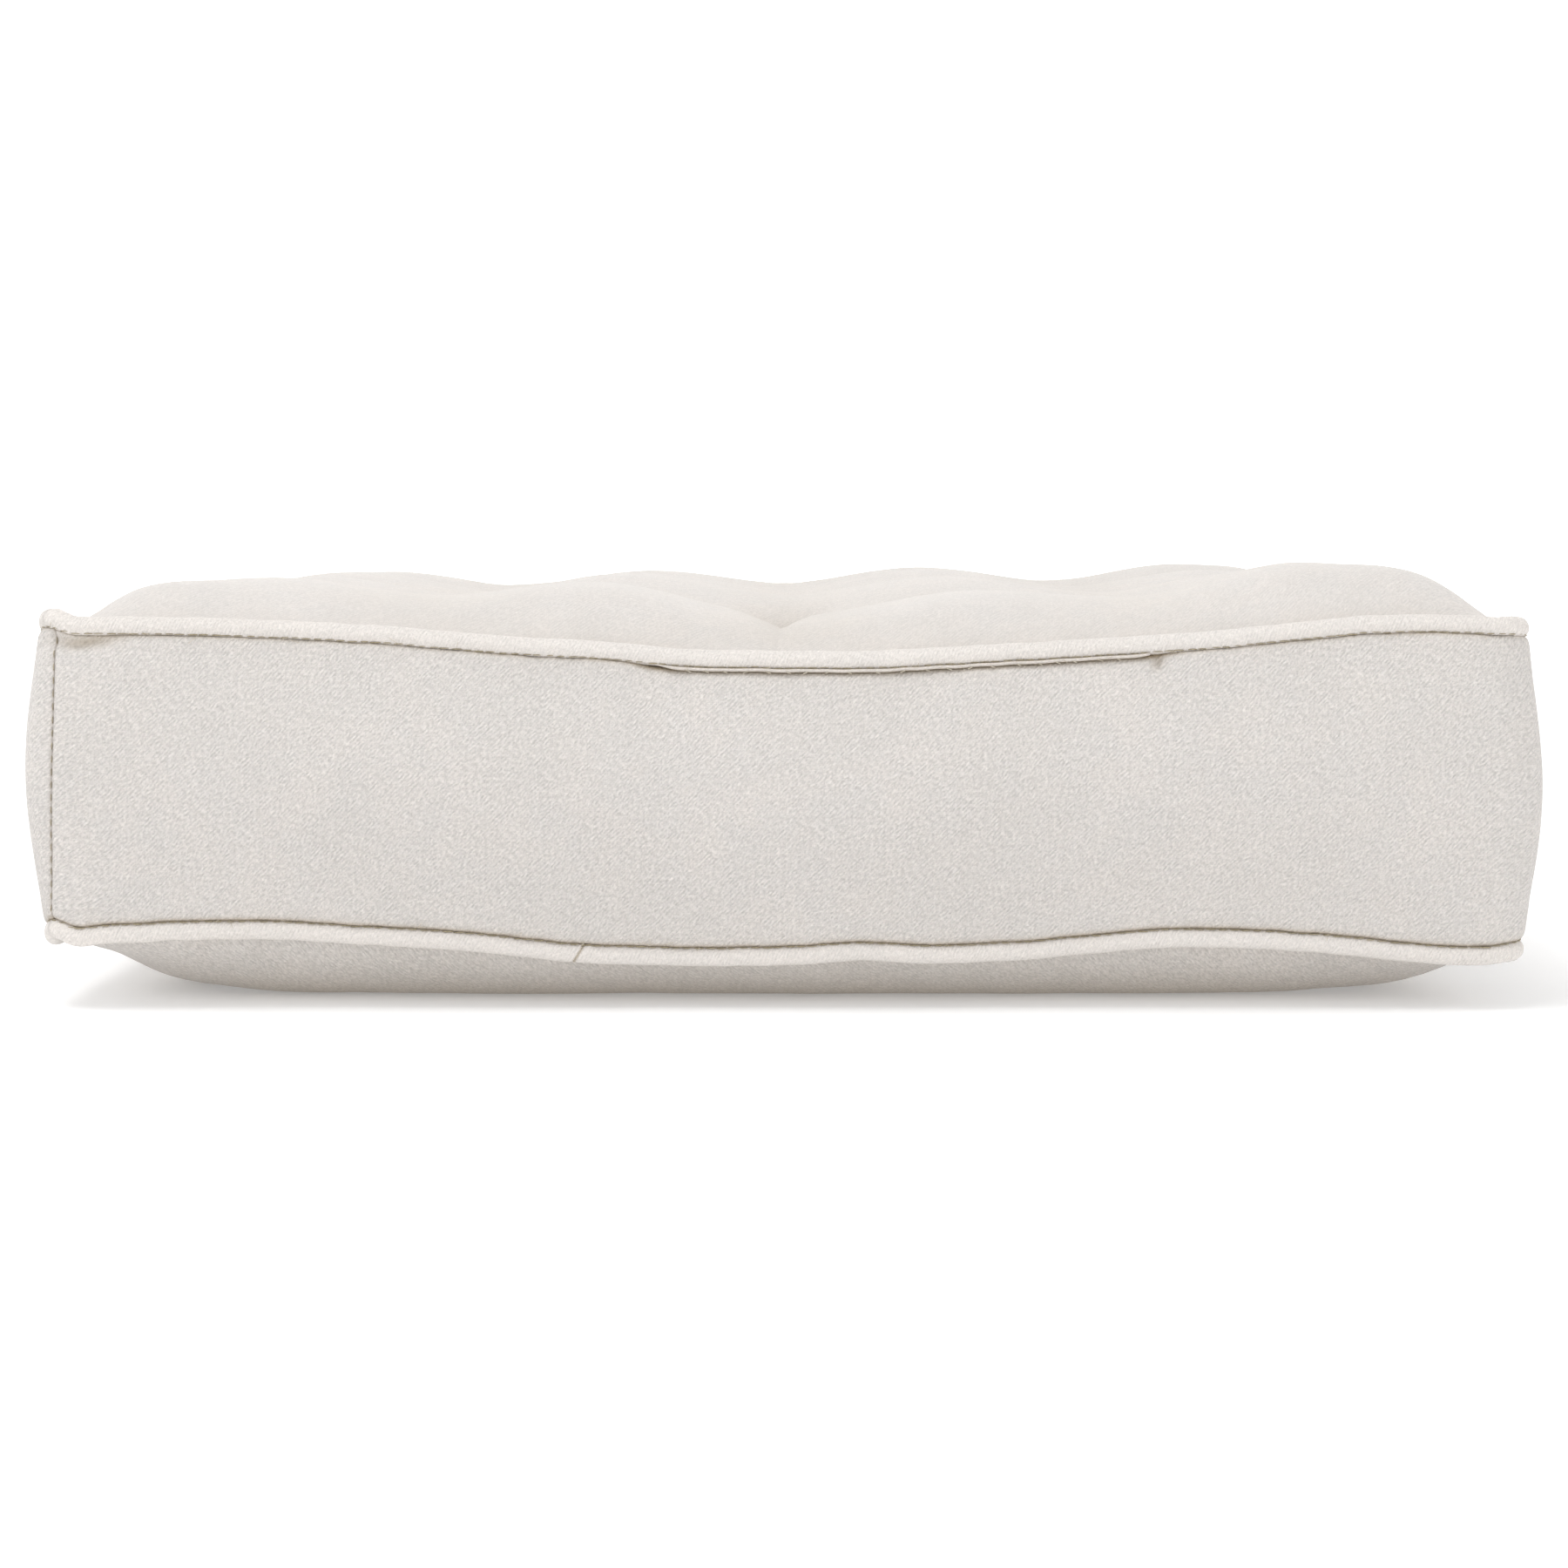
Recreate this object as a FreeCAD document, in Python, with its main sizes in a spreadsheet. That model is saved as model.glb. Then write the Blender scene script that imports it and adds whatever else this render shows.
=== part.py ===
import FreeCAD, Part
import math
import os
import Sketcher
from FreeCAD import Placement, Rotation, Vector

# Tufted box-edge seat pad, built as its sewn pieces. Millimetres, +Z up, front = -Y.
# The pad rests on z = 0; the plan is centred on the origin.

DIMS = {
    "side_len": 400.0,        # seam line to seam line, both ways
    "seam_low": 19.0,         # height of the lower seam above the resting plane
    "boxing_high": 80.0,      # lower seam to upper seam
    "crown_high": 18.5,       # crests of the top above the upper seam
    "side_bulge": 7.5,        # how far the stuffed side band bows out at mid height
    "bulge_radius": 15.0,     # plan corner radius there
    "corner_radius": 8.0,
    "cloth_thick": 0.8,
    "allowance": 10.0,        # seam allowance turned inwards
    "cord_dia": 5.0,
    "cover_wall": 0.7,
    "tuft_pitch": 100.0,
    "tuft_drop": 19.0,        # depth of a top dimple below the crests
    "drop_mouth": 38.0,       # radius of a top dimple where it leaves the crest
    "drop_floor": 4.5,        # radius of its floor
    "tuft_rise": 9.0,         # height of a dimple in the underside
    "rise_mouth": 14.0,       # radius of an underside dimple where it leaves the flat
    "rise_roof": 4.5,         # radius of its flat roof
    "twine_dia": 1.2,
    "twine_gap": 3.0,         # between the two strands of a tie
    "knot_rad": 2.4,
    "knot_high": 4.4,
    "channel_rad": 2.8,       # passage in the filling for one tie
    "thread_dia": 0.5,
    "stitch_pitch": 4.0,
    "stitch_inset": 1.6,      # seam thread behind the seam line
    "opening_from": -33.0,    # the hand-closed opening in the upper front seam
    "opening_to": 98.0,
    "join_low": -56.0,        # where the ends of the lower piping's cover meet, along the front
    "join_high": 30.0,        # the same for the upper piping, along the back
    "fill_gap": 0.3,          # filling to cloth
    "rest_half": 165.0,       # half width of the flat underside
    "crest_half": 150.0,      # half width of the level area of the crests
}

doc = FreeCAD.newDocument("SeatPad")
sheet = doc.addObject("Spreadsheet::Sheet", "Dims")
for row, (name, value) in enumerate(DIMS.items(), start=1):
    sheet.set("A%d" % row, name)
    sheet.set("B%d" % row, str(value))
    sheet.setAlias("B%d" % row, name)
doc.recompute()


def dim(name):
    """One driving dimension, read from the sheet."""
    return float(sheet.get(name))


nodes = []
pitch = dim("tuft_pitch")
TUFTS = [(col, row) for row in (-1, 0, 1) for col in (-1, 0, 1)]


# ---------------------------------------------------------------- sketch helpers

def new_body(label):
    body = doc.addObject("PartDesign::Body", label)
    body.Label = label
    nodes.append(body)
    return body


def origin_plane(body, role):
    return next(f for f in body.Origin.OriginFeatures if f.Role == role)


def new_sketch(body, name, role="XY_Plane", level=None):
    """A sketch on one of the body's own planes, lifted along the plane's normal by an expression."""
    sketch = body.newObject("Sketcher::SketchObject", name)
    sketch.AttachmentSupport = [(origin_plane(body, role), "")]
    sketch.MapMode = "FlatFace"
    if level is not None:
        sketch.setExpression("AttachmentOffset.Base.z", level)
    return sketch


def bind(sketch, constraint, expression):
    """Add a dimension to a sketch and tie it to the sheet."""
    index = sketch.addConstraint(constraint)
    sketch.setExpression("Constraints[%d]" % index, expression)


def rounded_square(sketch, half, radius, half_value, radius_value, split=False):
    """A centred square with round corners. With split, the +X side is two lines that meet on the X axis."""
    a, r = half_value, radius_value
    c = a - r
    z = Vector(0, 0, 1)
    line = Part.LineSegment
    q = math.pi / 2

    def arc(x, y, k):
        circle = Part.Circle(Vector(x, y, 0), z, r)
        return Part.ArcOfCircle(circle, k * q, (k + 1) * q)

    first = line(Vector(a, 0 if split else -c, 0), Vector(a, c, 0))
    loop = [
        first,
        arc(c, c, 0),
        line(Vector(c, a, 0), Vector(-c, a, 0)),
        arc(-c, c, 1),
        line(Vector(-a, c, 0), Vector(-a, -c, 0)),
        arc(-c, -c, 2),
        line(Vector(-c, -a, 0), Vector(c, -a, 0)),
        arc(c, -c, 3),
    ]
    if split:
        loop.append(line(Vector(a, -c, 0), Vector(a, 0, 0)))
    g = sketch.addGeometry(loop, False)
    base = g[0] if isinstance(g, (list, tuple)) else 0
    right, top, left, front = base, base + 2, base + 4, base + 6
    last = base + len(loop) - 1
    for k in range(len(loop) - 1):
        sketch.addConstraint(Sketcher.Constraint("Tangent", base + k, 2, base + k + 1, 1))
    if split:
        sketch.addConstraint(Sketcher.Constraint("Coincident", last, 2, right, 1))
        sketch.addConstraint(Sketcher.Constraint("PointOnObject", right, 1, -1))
        sketch.addConstraint(Sketcher.Constraint("Vertical", last))
    else:
        sketch.addConstraint(Sketcher.Constraint("Tangent", last, 2, right, 1))
        sketch.addConstraint(Sketcher.Constraint("Vertical", right))
    sketch.addConstraint(Sketcher.Constraint("Horizontal", top))
    sketch.addConstraint(Sketcher.Constraint("Vertical", left))
    sketch.addConstraint(Sketcher.Constraint("Horizontal", front))
    for k in (3, 5, 7):
        sketch.addConstraint(Sketcher.Constraint("Equal", base + 1, base + k))
    bind(sketch, Sketcher.Constraint("DistanceX", -1, 1, right, 1, a), half)
    bind(sketch, Sketcher.Constraint("DistanceY", -1, 1, top, 1, a), half)
    bind(sketch, Sketcher.Constraint("DistanceX", left, 1, -1, 1, a), half)
    bind(sketch, Sketcher.Constraint("DistanceY", front, 1, -1, 1, a), half)
    bind(sketch, Sketcher.Constraint("Radius", base + 1, r), radius)


def circle_in(sketch, x, y, radius, x_value, y_value, radius_value):
    """A circle whose centre and radius follow the sheet; x and y are expressions, or None for zero."""
    g = sketch.addGeometry(Part.Circle(Vector(x_value, y_value, 0), Vector(0, 0, 1), radius_value), False)
    for axis, expression, value in (("DistanceX", x, x_value), ("DistanceY", y, y_value)):
        if expression is None:
            line = -2 if axis == "DistanceX" else -1
            sketch.addConstraint(Sketcher.Constraint("PointOnObject", g, 3, line))
        else:
            bind(sketch, Sketcher.Constraint(axis, -1, 1, g, 3, value), expression)
    bind(sketch, Sketcher.Constraint("Radius", g, radius_value), radius)
    return g


def pad(body, name, sketch, length):
    feature = body.newObject("PartDesign::Pad", name)
    feature.Profile = sketch
    feature.setExpression("Length", length)
    return feature


def pipe(body, name, profile, spine, kind="PartDesign::AdditivePipe"):
    feature = body.newObject(kind, name)
    feature.Profile = profile
    feature.Spine = (spine, [])
    feature.Mode = "Frenet"
    return feature


# ---------------------------------------------------------------- heights used in several pieces

SEAM_HIGH = "Dims.seam_low + Dims.boxing_high"
half_side = dim("side_len") / 2
seam_high = dim("seam_low") + dim("boxing_high")
wall = dim("cover_wall")
cloth = dim("cloth_thick")
tube_rad = dim("cord_dia") / 2 + wall


# ---------------------------------------------------------------- piping: cords and their covers

def welt_path(body, level):
    path = new_sketch(body, body.Label + "_path", "XY_Plane", level)
    offset = "Dims.cord_dia / 2 + Dims.cover_wall"
    rounded_square(
        path,
        "Dims.side_len / 2 + " + offset,
        "Dims.corner_radius + " + offset,
        half_side + tube_rad,
        dim("corner_radius") + tube_rad,
        split=True,
    )
    return path


def welt_cord(label, level, level_value):
    """The filler cord inside the piping, one closed loop."""
    body = new_body(label)
    path = welt_path(body, level)
    profile = new_sketch(body, label + "_profile", "XZ_Plane")
    circle_in(
        profile,
        "Dims.side_len / 2 + Dims.cord_dia / 2 + Dims.cover_wall",
        level,
        "Dims.cord_dia / 2 - 0.02",
        half_side + tube_rad,
        level_value,
        dim("cord_dia") / 2 - 0.02,
    )
    pipe(body, label + "_sweep", profile, path)
    return body


def welt_cover(label, level, level_value):
    """Bias strip folded round the cord, its two edges lying together as a flat allowance."""
    body = new_body(label)
    path = welt_path(body, level)
    centre = "Dims.side_len / 2 + Dims.cord_dia / 2 + Dims.cover_wall"
    profile = new_sketch(body, label + "_profile", "XZ_Plane")
    whole = "Dims.cord_dia / 2 + Dims.cover_wall"
    circle_in(profile, centre, level, whole, half_side + tube_rad, level_value, tube_rad)
    pipe(body, label + "_sweep", profile, path)
    flange = new_sketch(body, label + "_flange", "XY_Plane", level + " - Dims.cover_wall")
    rounded_square(
        flange,
        "Dims.side_len / 2 + Dims.cover_wall / 2",
        "Dims.corner_radius + Dims.cover_wall / 2",
        half_side + wall / 2,
        dim("corner_radius") + wall / 2,
    )
    rounded_square(
        flange,
        "Dims.side_len / 2 - Dims.allowance",
        "Dims.corner_radius / 2",
        half_side - dim("allowance"),
        dim("corner_radius") / 2,
    )
    pad(body, label + "_allowance", flange, "2 * Dims.cover_wall")
    bore_path = welt_path(body, level)
    bore = new_sketch(body, label + "_bore", "XZ_Plane")
    radius = dim("cord_dia") / 2
    circle_in(bore, centre, level, "Dims.cord_dia / 2", half_side + tube_rad, level_value, radius)
    pipe(body, label + "_hollow", bore, bore_path, "PartDesign::SubtractivePipe")
    return body


welt_cord("top_welt_cord", SEAM_HIGH, seam_high)
welt_cover("top_welt_cover", SEAM_HIGH, seam_high)
welt_cord("bottom_welt_cord", "Dims.seam_low", dim("seam_low"))
welt_cover("bottom_welt_cover", "Dims.seam_low", dim("seam_low"))


# ---------------------------------------------------------------- lofted cloth and filling

def loft(body, name, sections, kind="PartDesign::AdditiveLoft"):
    """A loft through rounded squares; each section is (level, half, radius, half value, radius value)."""
    sketches = []
    for k, (level, half, radius, half_value, radius_value) in enumerate(sections):
        sketch = new_sketch(body, "%s_%d" % (name, k), "XY_Plane", level)
        rounded_square(sketch, half, radius, half_value, radius_value)
        sketches.append(sketch)
    feature = body.newObject(kind, name)
    feature.Profile = sketches[0]
    feature.Sections = sketches[1:]
    feature.Ruled = False
    return feature


def crown_sections(rim, rise, flat, inset, steps):
    """Sections of a crowned skin from its level area to its rim, set in all round by inset (a cell name).

    rim: level of the rim; rise: signed height from the rim to the level area; flat: cell with the half
    width of the level area; steps: (share of the rise, share of the way out to the rim, corner radius).
    """
    shift = dim(inset) if inset else 0.0
    toward = "-" if dim(flat) == dim("crest_half") else "+"
    sections = []
    for share, way, radius in steps:
        level = "%s + (%s) * %g" % (rim, rise, share)
        half = "Dims.%s + (Dims.side_len / 2 - Dims.%s) * %g" % (flat, flat, way)
        value = dim(flat) + (half_side - dim(flat)) * way
        if inset:
            if share > 0:
                level += " %s Dims.%s" % (toward, inset)
            half += " - Dims.%s" % inset
        sections.append((level, half, "%g" % (radius - shift), value - shift, radius - shift))
    return sections


CROWN_STEPS = ((0.0, 1.0, 8.0), (0.50, 0.84, 18.0), (0.86, 0.45, 32.0), (1.0, 0.0, 45.0))


def frame_sketch(body, name, level, outer, outer_value, inner, inner_value):
    """Two rounded squares, one in the other: a flat frame."""
    sketch = new_sketch(body, name, "XY_Plane", level)
    radius = dim("corner_radius")
    rounded_square(sketch, outer, "Dims.corner_radius", outer_value, radius)
    rounded_square(sketch, inner, "Dims.corner_radius / 2", inner_value, radius / 2)
    return sketch


def allowance(body, name, level, length):
    """The seam allowance of one cloth layer, a flat frame inside the seam line."""
    sketch = frame_sketch(
        body,
        name + "_outline",
        level,
        "Dims.side_len / 2 - Dims.cloth_thick / 2",
        half_side - cloth / 2,
        "Dims.side_len / 2 - Dims.allowance",
        half_side - dim("allowance"),
    )
    return pad(body, name, sketch, length)


def tuft_circles(body, name, level, radius, radius_value, strands=False):
    """One sketch with a circle at every tie, or at both strands of every tie."""
    sketch = new_sketch(body, name, "XY_Plane", level)
    for col, row in TUFTS:
        y_expr = "%d * Dims.tuft_pitch" % row if row else None
        if not strands:
            x_expr = "%d * Dims.tuft_pitch" % col if col else None
            circle_in(sketch, x_expr, y_expr, radius, col * pitch, row * pitch, radius_value)
            continue
        for side in (-0.5, 0.5):
            x_expr = "%d * Dims.tuft_pitch + %g * Dims.twine_gap" % (col, side)
            x = col * pitch + side * dim("twine_gap")
            circle_in(sketch, x_expr, y_expr, radius, x, row * pitch, radius_value)
    return sketch


def pocket(body, name, sketch, length, upward, taper=None):
    feature = body.newObject("PartDesign::Pocket", name)
    feature.Profile = sketch
    feature.Reversed = upward
    feature.setExpression("Length", length)
    if taper:
        feature.setExpression("TaperAngle", taper)
    return feature


def dimples(body, level, mouth, floor, depth, upward):
    """Cloth cones at the ties: skins added first, then the hollows cut out of them."""
    taper = "-atan((Dims.%s - Dims.%s) / Dims.%s)" % (mouth, floor, depth)
    skin = tuft_circles(
        body, body.Label + "_skin", level, "Dims.%s + Dims.cloth_thick" % mouth, dim(mouth) + cloth
    )
    cones = pad(body, body.Label + "_cones", skin, "Dims.%s + Dims.cloth_thick" % depth)
    cones.Reversed = not upward
    cones.setExpression("TaperAngle", taper)
    hollow = tuft_circles(body, body.Label + "_hollow", level, "Dims.%s" % mouth, dim(mouth))
    pocket(body, body.Label + "_hollows", hollow, "Dims.%s" % depth, upward, taper)
    strands = tuft_circles(
        body,
        body.Label + "_strand",
        level,
        "Dims.twine_dia / 2 + 0.1",
        dim("twine_dia") / 2 + 0.1,
        strands=True,
    )
    pocket(body, body.Label + "_passages", strands, "Dims.%s + 3 * Dims.cloth_thick" % depth, upward)


def bottom_panel():
    """Cloth tray: flat where it rests, rising to the lower seam, with a dimple at every tie."""
    body = new_body("bottom_panel")
    rim = "(Dims.seam_low - Dims.cover_wall)"
    steps = ((1.0, 0.0, 42.0), (0.84, 0.45, 30.0), (0.52, 0.80, 18.0), (0.0, 1.0, 8.0))
    loft(body, "tray_outer", crown_sections(rim, "-" + rim, "rest_half", None, steps))
    inner = crown_sections(rim, "-" + rim, "rest_half", "cloth_thick", steps)
    loft(body, "tray_inner", inner, "PartDesign::SubtractiveLoft")
    allowance(body, "tray_rim", rim + " - Dims.cloth_thick", "Dims.cloth_thick")
    dimples(body, "0 mm", "rise_mouth", "rise_roof", "tuft_rise", upward=True)


def top_panel():
    """Cloth crown over the filling, drawn down to a dimple at every tie."""
    body = new_body("top_panel")
    rim = "(%s + Dims.cover_wall)" % SEAM_HIGH
    rise = "(Dims.crown_high - Dims.cover_wall)"
    loft(body, "crown_outer", crown_sections(rim, rise, "crest_half", None, CROWN_STEPS))
    inner = crown_sections(rim, rise, "crest_half", "cloth_thick", CROWN_STEPS)
    loft(body, "crown_inner", inner, "PartDesign::SubtractiveLoft")
    allowance(body, "crown_rim", rim, "Dims.cloth_thick")
    crest = "%s + Dims.crown_high" % SEAM_HIGH
    dimples(body, crest, "drop_mouth", "drop_floor", "tuft_drop", upward=False)


bottom_panel()
top_panel()


# ---------------------------------------------------------------- boxing: the side band, in two strips

BAND_LOW = "(Dims.seam_low + Dims.cover_wall)"
BAND_RISE = "(Dims.boxing_high - 2 * Dims.cover_wall)"
BAND_STEPS = ((0.0, 0.0), (0.22, 0.72), (0.5, 1.0), (0.78, 0.72), (1.0, 0.0))


def band_sections(inset, inset_value):
    """Plan sections of the side band from seam to seam, set in by an inset (an expression)."""
    sections = []
    for share, bow in BAND_STEPS:
        level = "%s + %s * %g" % (BAND_LOW, BAND_RISE, share)
        half = "Dims.side_len / 2 + Dims.side_bulge * %g - %s" % (bow, inset)
        radius = "Dims.corner_radius + (Dims.bulge_radius - Dims.corner_radius) * %g - %s" % (bow, inset)
        half_value = half_side + dim("side_bulge") * bow - inset_value
        spread = dim("bulge_radius") - dim("corner_radius")
        radius_value = dim("corner_radius") + spread * bow - inset_value
        sections.append((level, half, radius, half_value, radius_value))
    return sections


def polygon(sketch, points):
    """A closed outline through corners given as (x, y)."""
    count = len(points)
    base = sketch.GeometryCount
    lines = []
    for k in range(count):
        a, b = points[k], points[(k + 1) % count]
        lines.append(Part.LineSegment(Vector(a[0], a[1], 0), Vector(b[0], b[1], 0)))
    sketch.addGeometry(lines, False)
    for k in range(count):
        after = base + (k + 1) % count
        sketch.addConstraint(Sketcher.Constraint("Coincident", base + k, 2, after, 1))


def boxing(label, side):
    """One strip of the band: half the ring, cut on the diagonal, with its two ends turned inwards."""
    body = new_body(label)
    loft(body, "band_outer_" + label, band_sections("0", 0.0))
    inner = band_sections("Dims.cloth_thick", cloth)
    loft(body, "band_inner_" + label, inner, "PartDesign::SubtractiveLoft")
    allowance(body, "lower_turn_" + label, BAND_LOW, "Dims.cloth_thick")
    upper = "%s + %s - Dims.cloth_thick" % (BAND_LOW, BAND_RISE)
    allowance(body, "upper_turn_" + label, upper, "Dims.cloth_thick")
    far = half_side * 1.5
    other = new_sketch(body, "other_half_" + label, "XY_Plane")
    polygon(other, [(-far, -far), (far, far), (-side * far, side * far)])
    pocket(body, "diagonal_" + label, other, "2 * Dims.boxing_high", True)
    root = half_side - 2.4
    reach = dim("allowance") / math.sqrt(2)
    step = side * cloth * math.sqrt(2)
    ends = new_sketch(body, "end_turns_" + label, "XY_Plane", BAND_LOW + " + 2")
    for end in (-1, 1):
        tip = end * root
        tail = end * (root - reach)
        quad = [(tip, tip), (tail, tail), (tail + step / 2, tail - step / 2), (tip + step / 2, tip - step / 2)]
        polygon(ends, quad)
    pad(body, "end_allowances_" + label, ends, BAND_RISE + " - 4")


boxing("boxing_front_right", 1)
boxing("boxing_back_left", -1)


# ---------------------------------------------------------------- filling

def filling():
    """Blown fibre as one block: it fills the cover and leaves passages for the ties."""
    body = new_body("fibre_fill")
    inset = "(Dims.cloth_thick + Dims.fill_gap)"
    inset_value = cloth + dim("fill_gap")
    loft(body, "core", band_sections(inset, inset_value))
    for name, rim, rise, flat, steps in (
        (
            "lower",
            "(Dims.seam_low + 3)",
            "-(Dims.seam_low + 3 - %s)" % inset,
            "rest_half",
            ((1.0, 0.0, 40.0), (0.84, 0.42, 29.0), (0.52, 0.74, 17.0), (0.0, 0.84, 10.0)),
        ),
        (
            "upper",
            "(%s - 3)" % SEAM_HIGH,
            "(Dims.crown_high + 3 - %s)" % inset,
            "crest_half",
            ((0.0, 0.92, 8.0), (0.56, 0.80, 16.0), (0.86, 0.42, 31.0), (1.0, 0.0, 44.0)),
        ),
    ):
        sections = []
        for share, way, radius in steps:
            level = "%s + %s * %g" % (rim, rise, share)
            half = "Dims.%s + (Dims.side_len / 2 - Dims.%s) * %g - %s" % (flat, flat, way, inset)
            value = dim(flat) + (half_side - dim(flat)) * way - inset_value
            sections.append((level, half, "%g" % (radius - 1), value, radius - 1))
        loft(body, name + "_crown", sections)
    stack = "(Dims.cover_wall + Dims.cloth_thick + 2 * Dims.thread_dia)"
    for name, seam in (("lower", "Dims.seam_low"), ("upper", SEAM_HIGH)):
        sketch = frame_sketch(
            body,
            name + "_stack_outline",
            "%s - %s" % (seam, stack),
            "Dims.side_len / 2 + 20",
            half_side + 20,
            "Dims.side_len / 2 - Dims.allowance - 0.5",
            half_side - dim("allowance") - 0.5,
        )
        pocket(body, name + "_stack", sketch, "2 * " + stack, True)
    for name, level, mouth, floor, depth, upward in (
        ("underside", "0 mm", "rise_mouth", "rise_roof", "tuft_rise", True),
        ("top", "%s + Dims.crown_high" % SEAM_HIGH, "drop_mouth", "drop_floor", "tuft_drop", False),
    ):
        taper = "-atan((Dims.%s - Dims.%s) / Dims.%s)" % (mouth, floor, depth)
        sketch = tuft_circles(
            body,
            name + "_dimples",
            level,
            "Dims.%s + 2 * %s" % (mouth, inset),
            dim(mouth) + 2 * inset_value,
        )
        pocket(body, name + "_hollows", sketch, "Dims.%s + %s" % (depth, inset), upward, taper)
    channels = tuft_circles(body, "channels", "0 mm", "Dims.channel_rad", dim("channel_rad"))
    pocket(body, "tie_channels", channels, "2 * Dims.boxing_high", True)
    slot = new_sketch(body, "corner_slots", "XY_Plane")
    near = half_side - 3 - dim("allowance") / math.sqrt(2)
    out = half_side + 20
    for end in (-1, 1):
        quad = [
            (end * near - 1.6, end * near + 1.6),
            (end * near + 1.6, end * near - 1.6),
            (end * out + 1.6, end * out - 1.6),
            (end * out - 1.6, end * out + 1.6),
        ]
        polygon(slot, quad)
    pocket(body, "corner_clearance", slot, "2 * Dims.boxing_high", True)


filling()


# ---------------------------------------------------------------- ties: waxed twine through the pad

def tie(number, col, row):
    """A doubled twine: a loop over the top panel, two strands down, a knot under the bottom panel."""
    body = new_body("tuft_tie_%d" % number)
    crest = seam_high + dim("crown_high") - dim("tuft_drop") + 0.3
    half_gap = dim("twine_gap") / 2
    foot = dim("tuft_rise") - dim("knot_rad")
    disc = new_sketch(body, "knot_%d" % number, "XY_Plane", "Dims.tuft_rise - Dims.knot_high - 0.1")
    circle_in(disc, None, None, "Dims.knot_rad", 0.0, 0.0, dim("knot_rad"))
    lump = pad(body, "knot_lump_%d" % number, disc, "Dims.knot_high")
    doc.recompute()
    rims = [
        "Edge%d" % (k + 1)
        for k, edge in enumerate(lump.Shape.Edges)
        if isinstance(edge.Curve, Part.Circle)
    ]
    knot = body.newObject("PartDesign::Fillet", "knot_round_%d" % number)
    knot.Base = (lump, rims)
    knot.setExpression("Radius", "0.4 * Dims.knot_high")
    path = new_sketch(body, "path_%d" % number, "XZ_Plane")
    up = Part.LineSegment(Vector(-half_gap, foot, 0), Vector(-half_gap, crest, 0))
    over = Part.ArcOfCircle(Part.Circle(Vector(0, crest, 0), Vector(0, 0, 1), half_gap), 0, math.pi)
    down = Part.LineSegment(Vector(half_gap, crest, 0), Vector(half_gap, foot, 0))
    path.addGeometry([up, over, down], False)
    path.addConstraint(Sketcher.Constraint("Tangent", 0, 2, 1, 2))
    path.addConstraint(Sketcher.Constraint("Tangent", 1, 1, 2, 1))
    path.addConstraint(Sketcher.Constraint("Vertical", 0))
    path.addConstraint(Sketcher.Constraint("Vertical", 2))
    path.addConstraint(Sketcher.Constraint("PointOnObject", 1, 3, -2))
    bind(
        path,
        Sketcher.Constraint("DistanceY", -1, 1, 1, 3, crest),
        SEAM_HIGH + " + Dims.crown_high - Dims.tuft_drop + 0.3",
    )
    bind(path, Sketcher.Constraint("Radius", 1, half_gap), "Dims.twine_gap / 2")
    for line, point in ((0, 1), (2, 2)):
        bind(
            path,
            Sketcher.Constraint("DistanceY", -1, 1, line, point, foot),
            "Dims.tuft_rise - Dims.knot_rad",
        )
    profile = new_sketch(body, "strand_%d" % number, "XY_Plane", "Dims.tuft_rise - Dims.knot_rad")
    circle_in(
        profile, "-Dims.twine_gap / 2", None, "Dims.twine_dia / 2", -half_gap, 0.0, dim("twine_dia") / 2
    )
    pipe(body, "strands_%d" % number, profile, path)
    body.setExpression("Placement.Base.x", "%d * Dims.tuft_pitch" % col)
    body.setExpression("Placement.Base.y", "%d * Dims.tuft_pitch" % row)


for count, (tuft_col, tuft_row) in enumerate(TUFTS, start=1):
    tie(count, tuft_col, tuft_row)


# ---------------------------------------------------------------- threads

def add_shape(label, shape):
    """A node whose shape is computed here from sheet values."""
    feature = doc.addObject("Part::Feature", label)
    feature.Label = label
    feature.Shape = shape
    feature.Placement = Placement(Vector(0, 0, 0), Rotation())
    nodes.append(feature)
    return feature


def seam_thread(label, level, level_value):
    """Lockstitch round one seam: a needle line above the stack of allowances and a bobbin line below it."""
    body = new_body(label)
    for name, sign in (("needle", 1), ("bobbin", -1)):
        offset = "%d * (Dims.cover_wall + Dims.cloth_thick + Dims.thread_dia / 2)" % sign
        height = level + " + " + offset
        height_value = level_value + sign * (wall + cloth + dim("thread_dia") / 2)
        path = new_sketch(body, "%s_%s_path" % (label, name), "XY_Plane", height)
        rounded_square(
            path,
            "Dims.side_len / 2 - 2 * Dims.stitch_inset",
            "Dims.corner_radius",
            half_side - 2 * dim("stitch_inset"),
            dim("corner_radius"),
            split=True,
        )
        profile = new_sketch(body, "%s_%s_profile" % (label, name), "XZ_Plane")
        circle_in(
            profile,
            "Dims.side_len / 2 - 2 * Dims.stitch_inset",
            height,
            "Dims.thread_dia / 2 - 0.01",
            half_side - 2 * dim("stitch_inset"),
            height_value,
            dim("thread_dia") / 2 - 0.01,
        )
        pipe(body, "%s_%s" % (label, name), profile, path)


seam_thread("top_seam_thread", SEAM_HIGH, seam_high)
seam_thread("bottom_seam_thread", "Dims.seam_low", dim("seam_low"))


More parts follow.
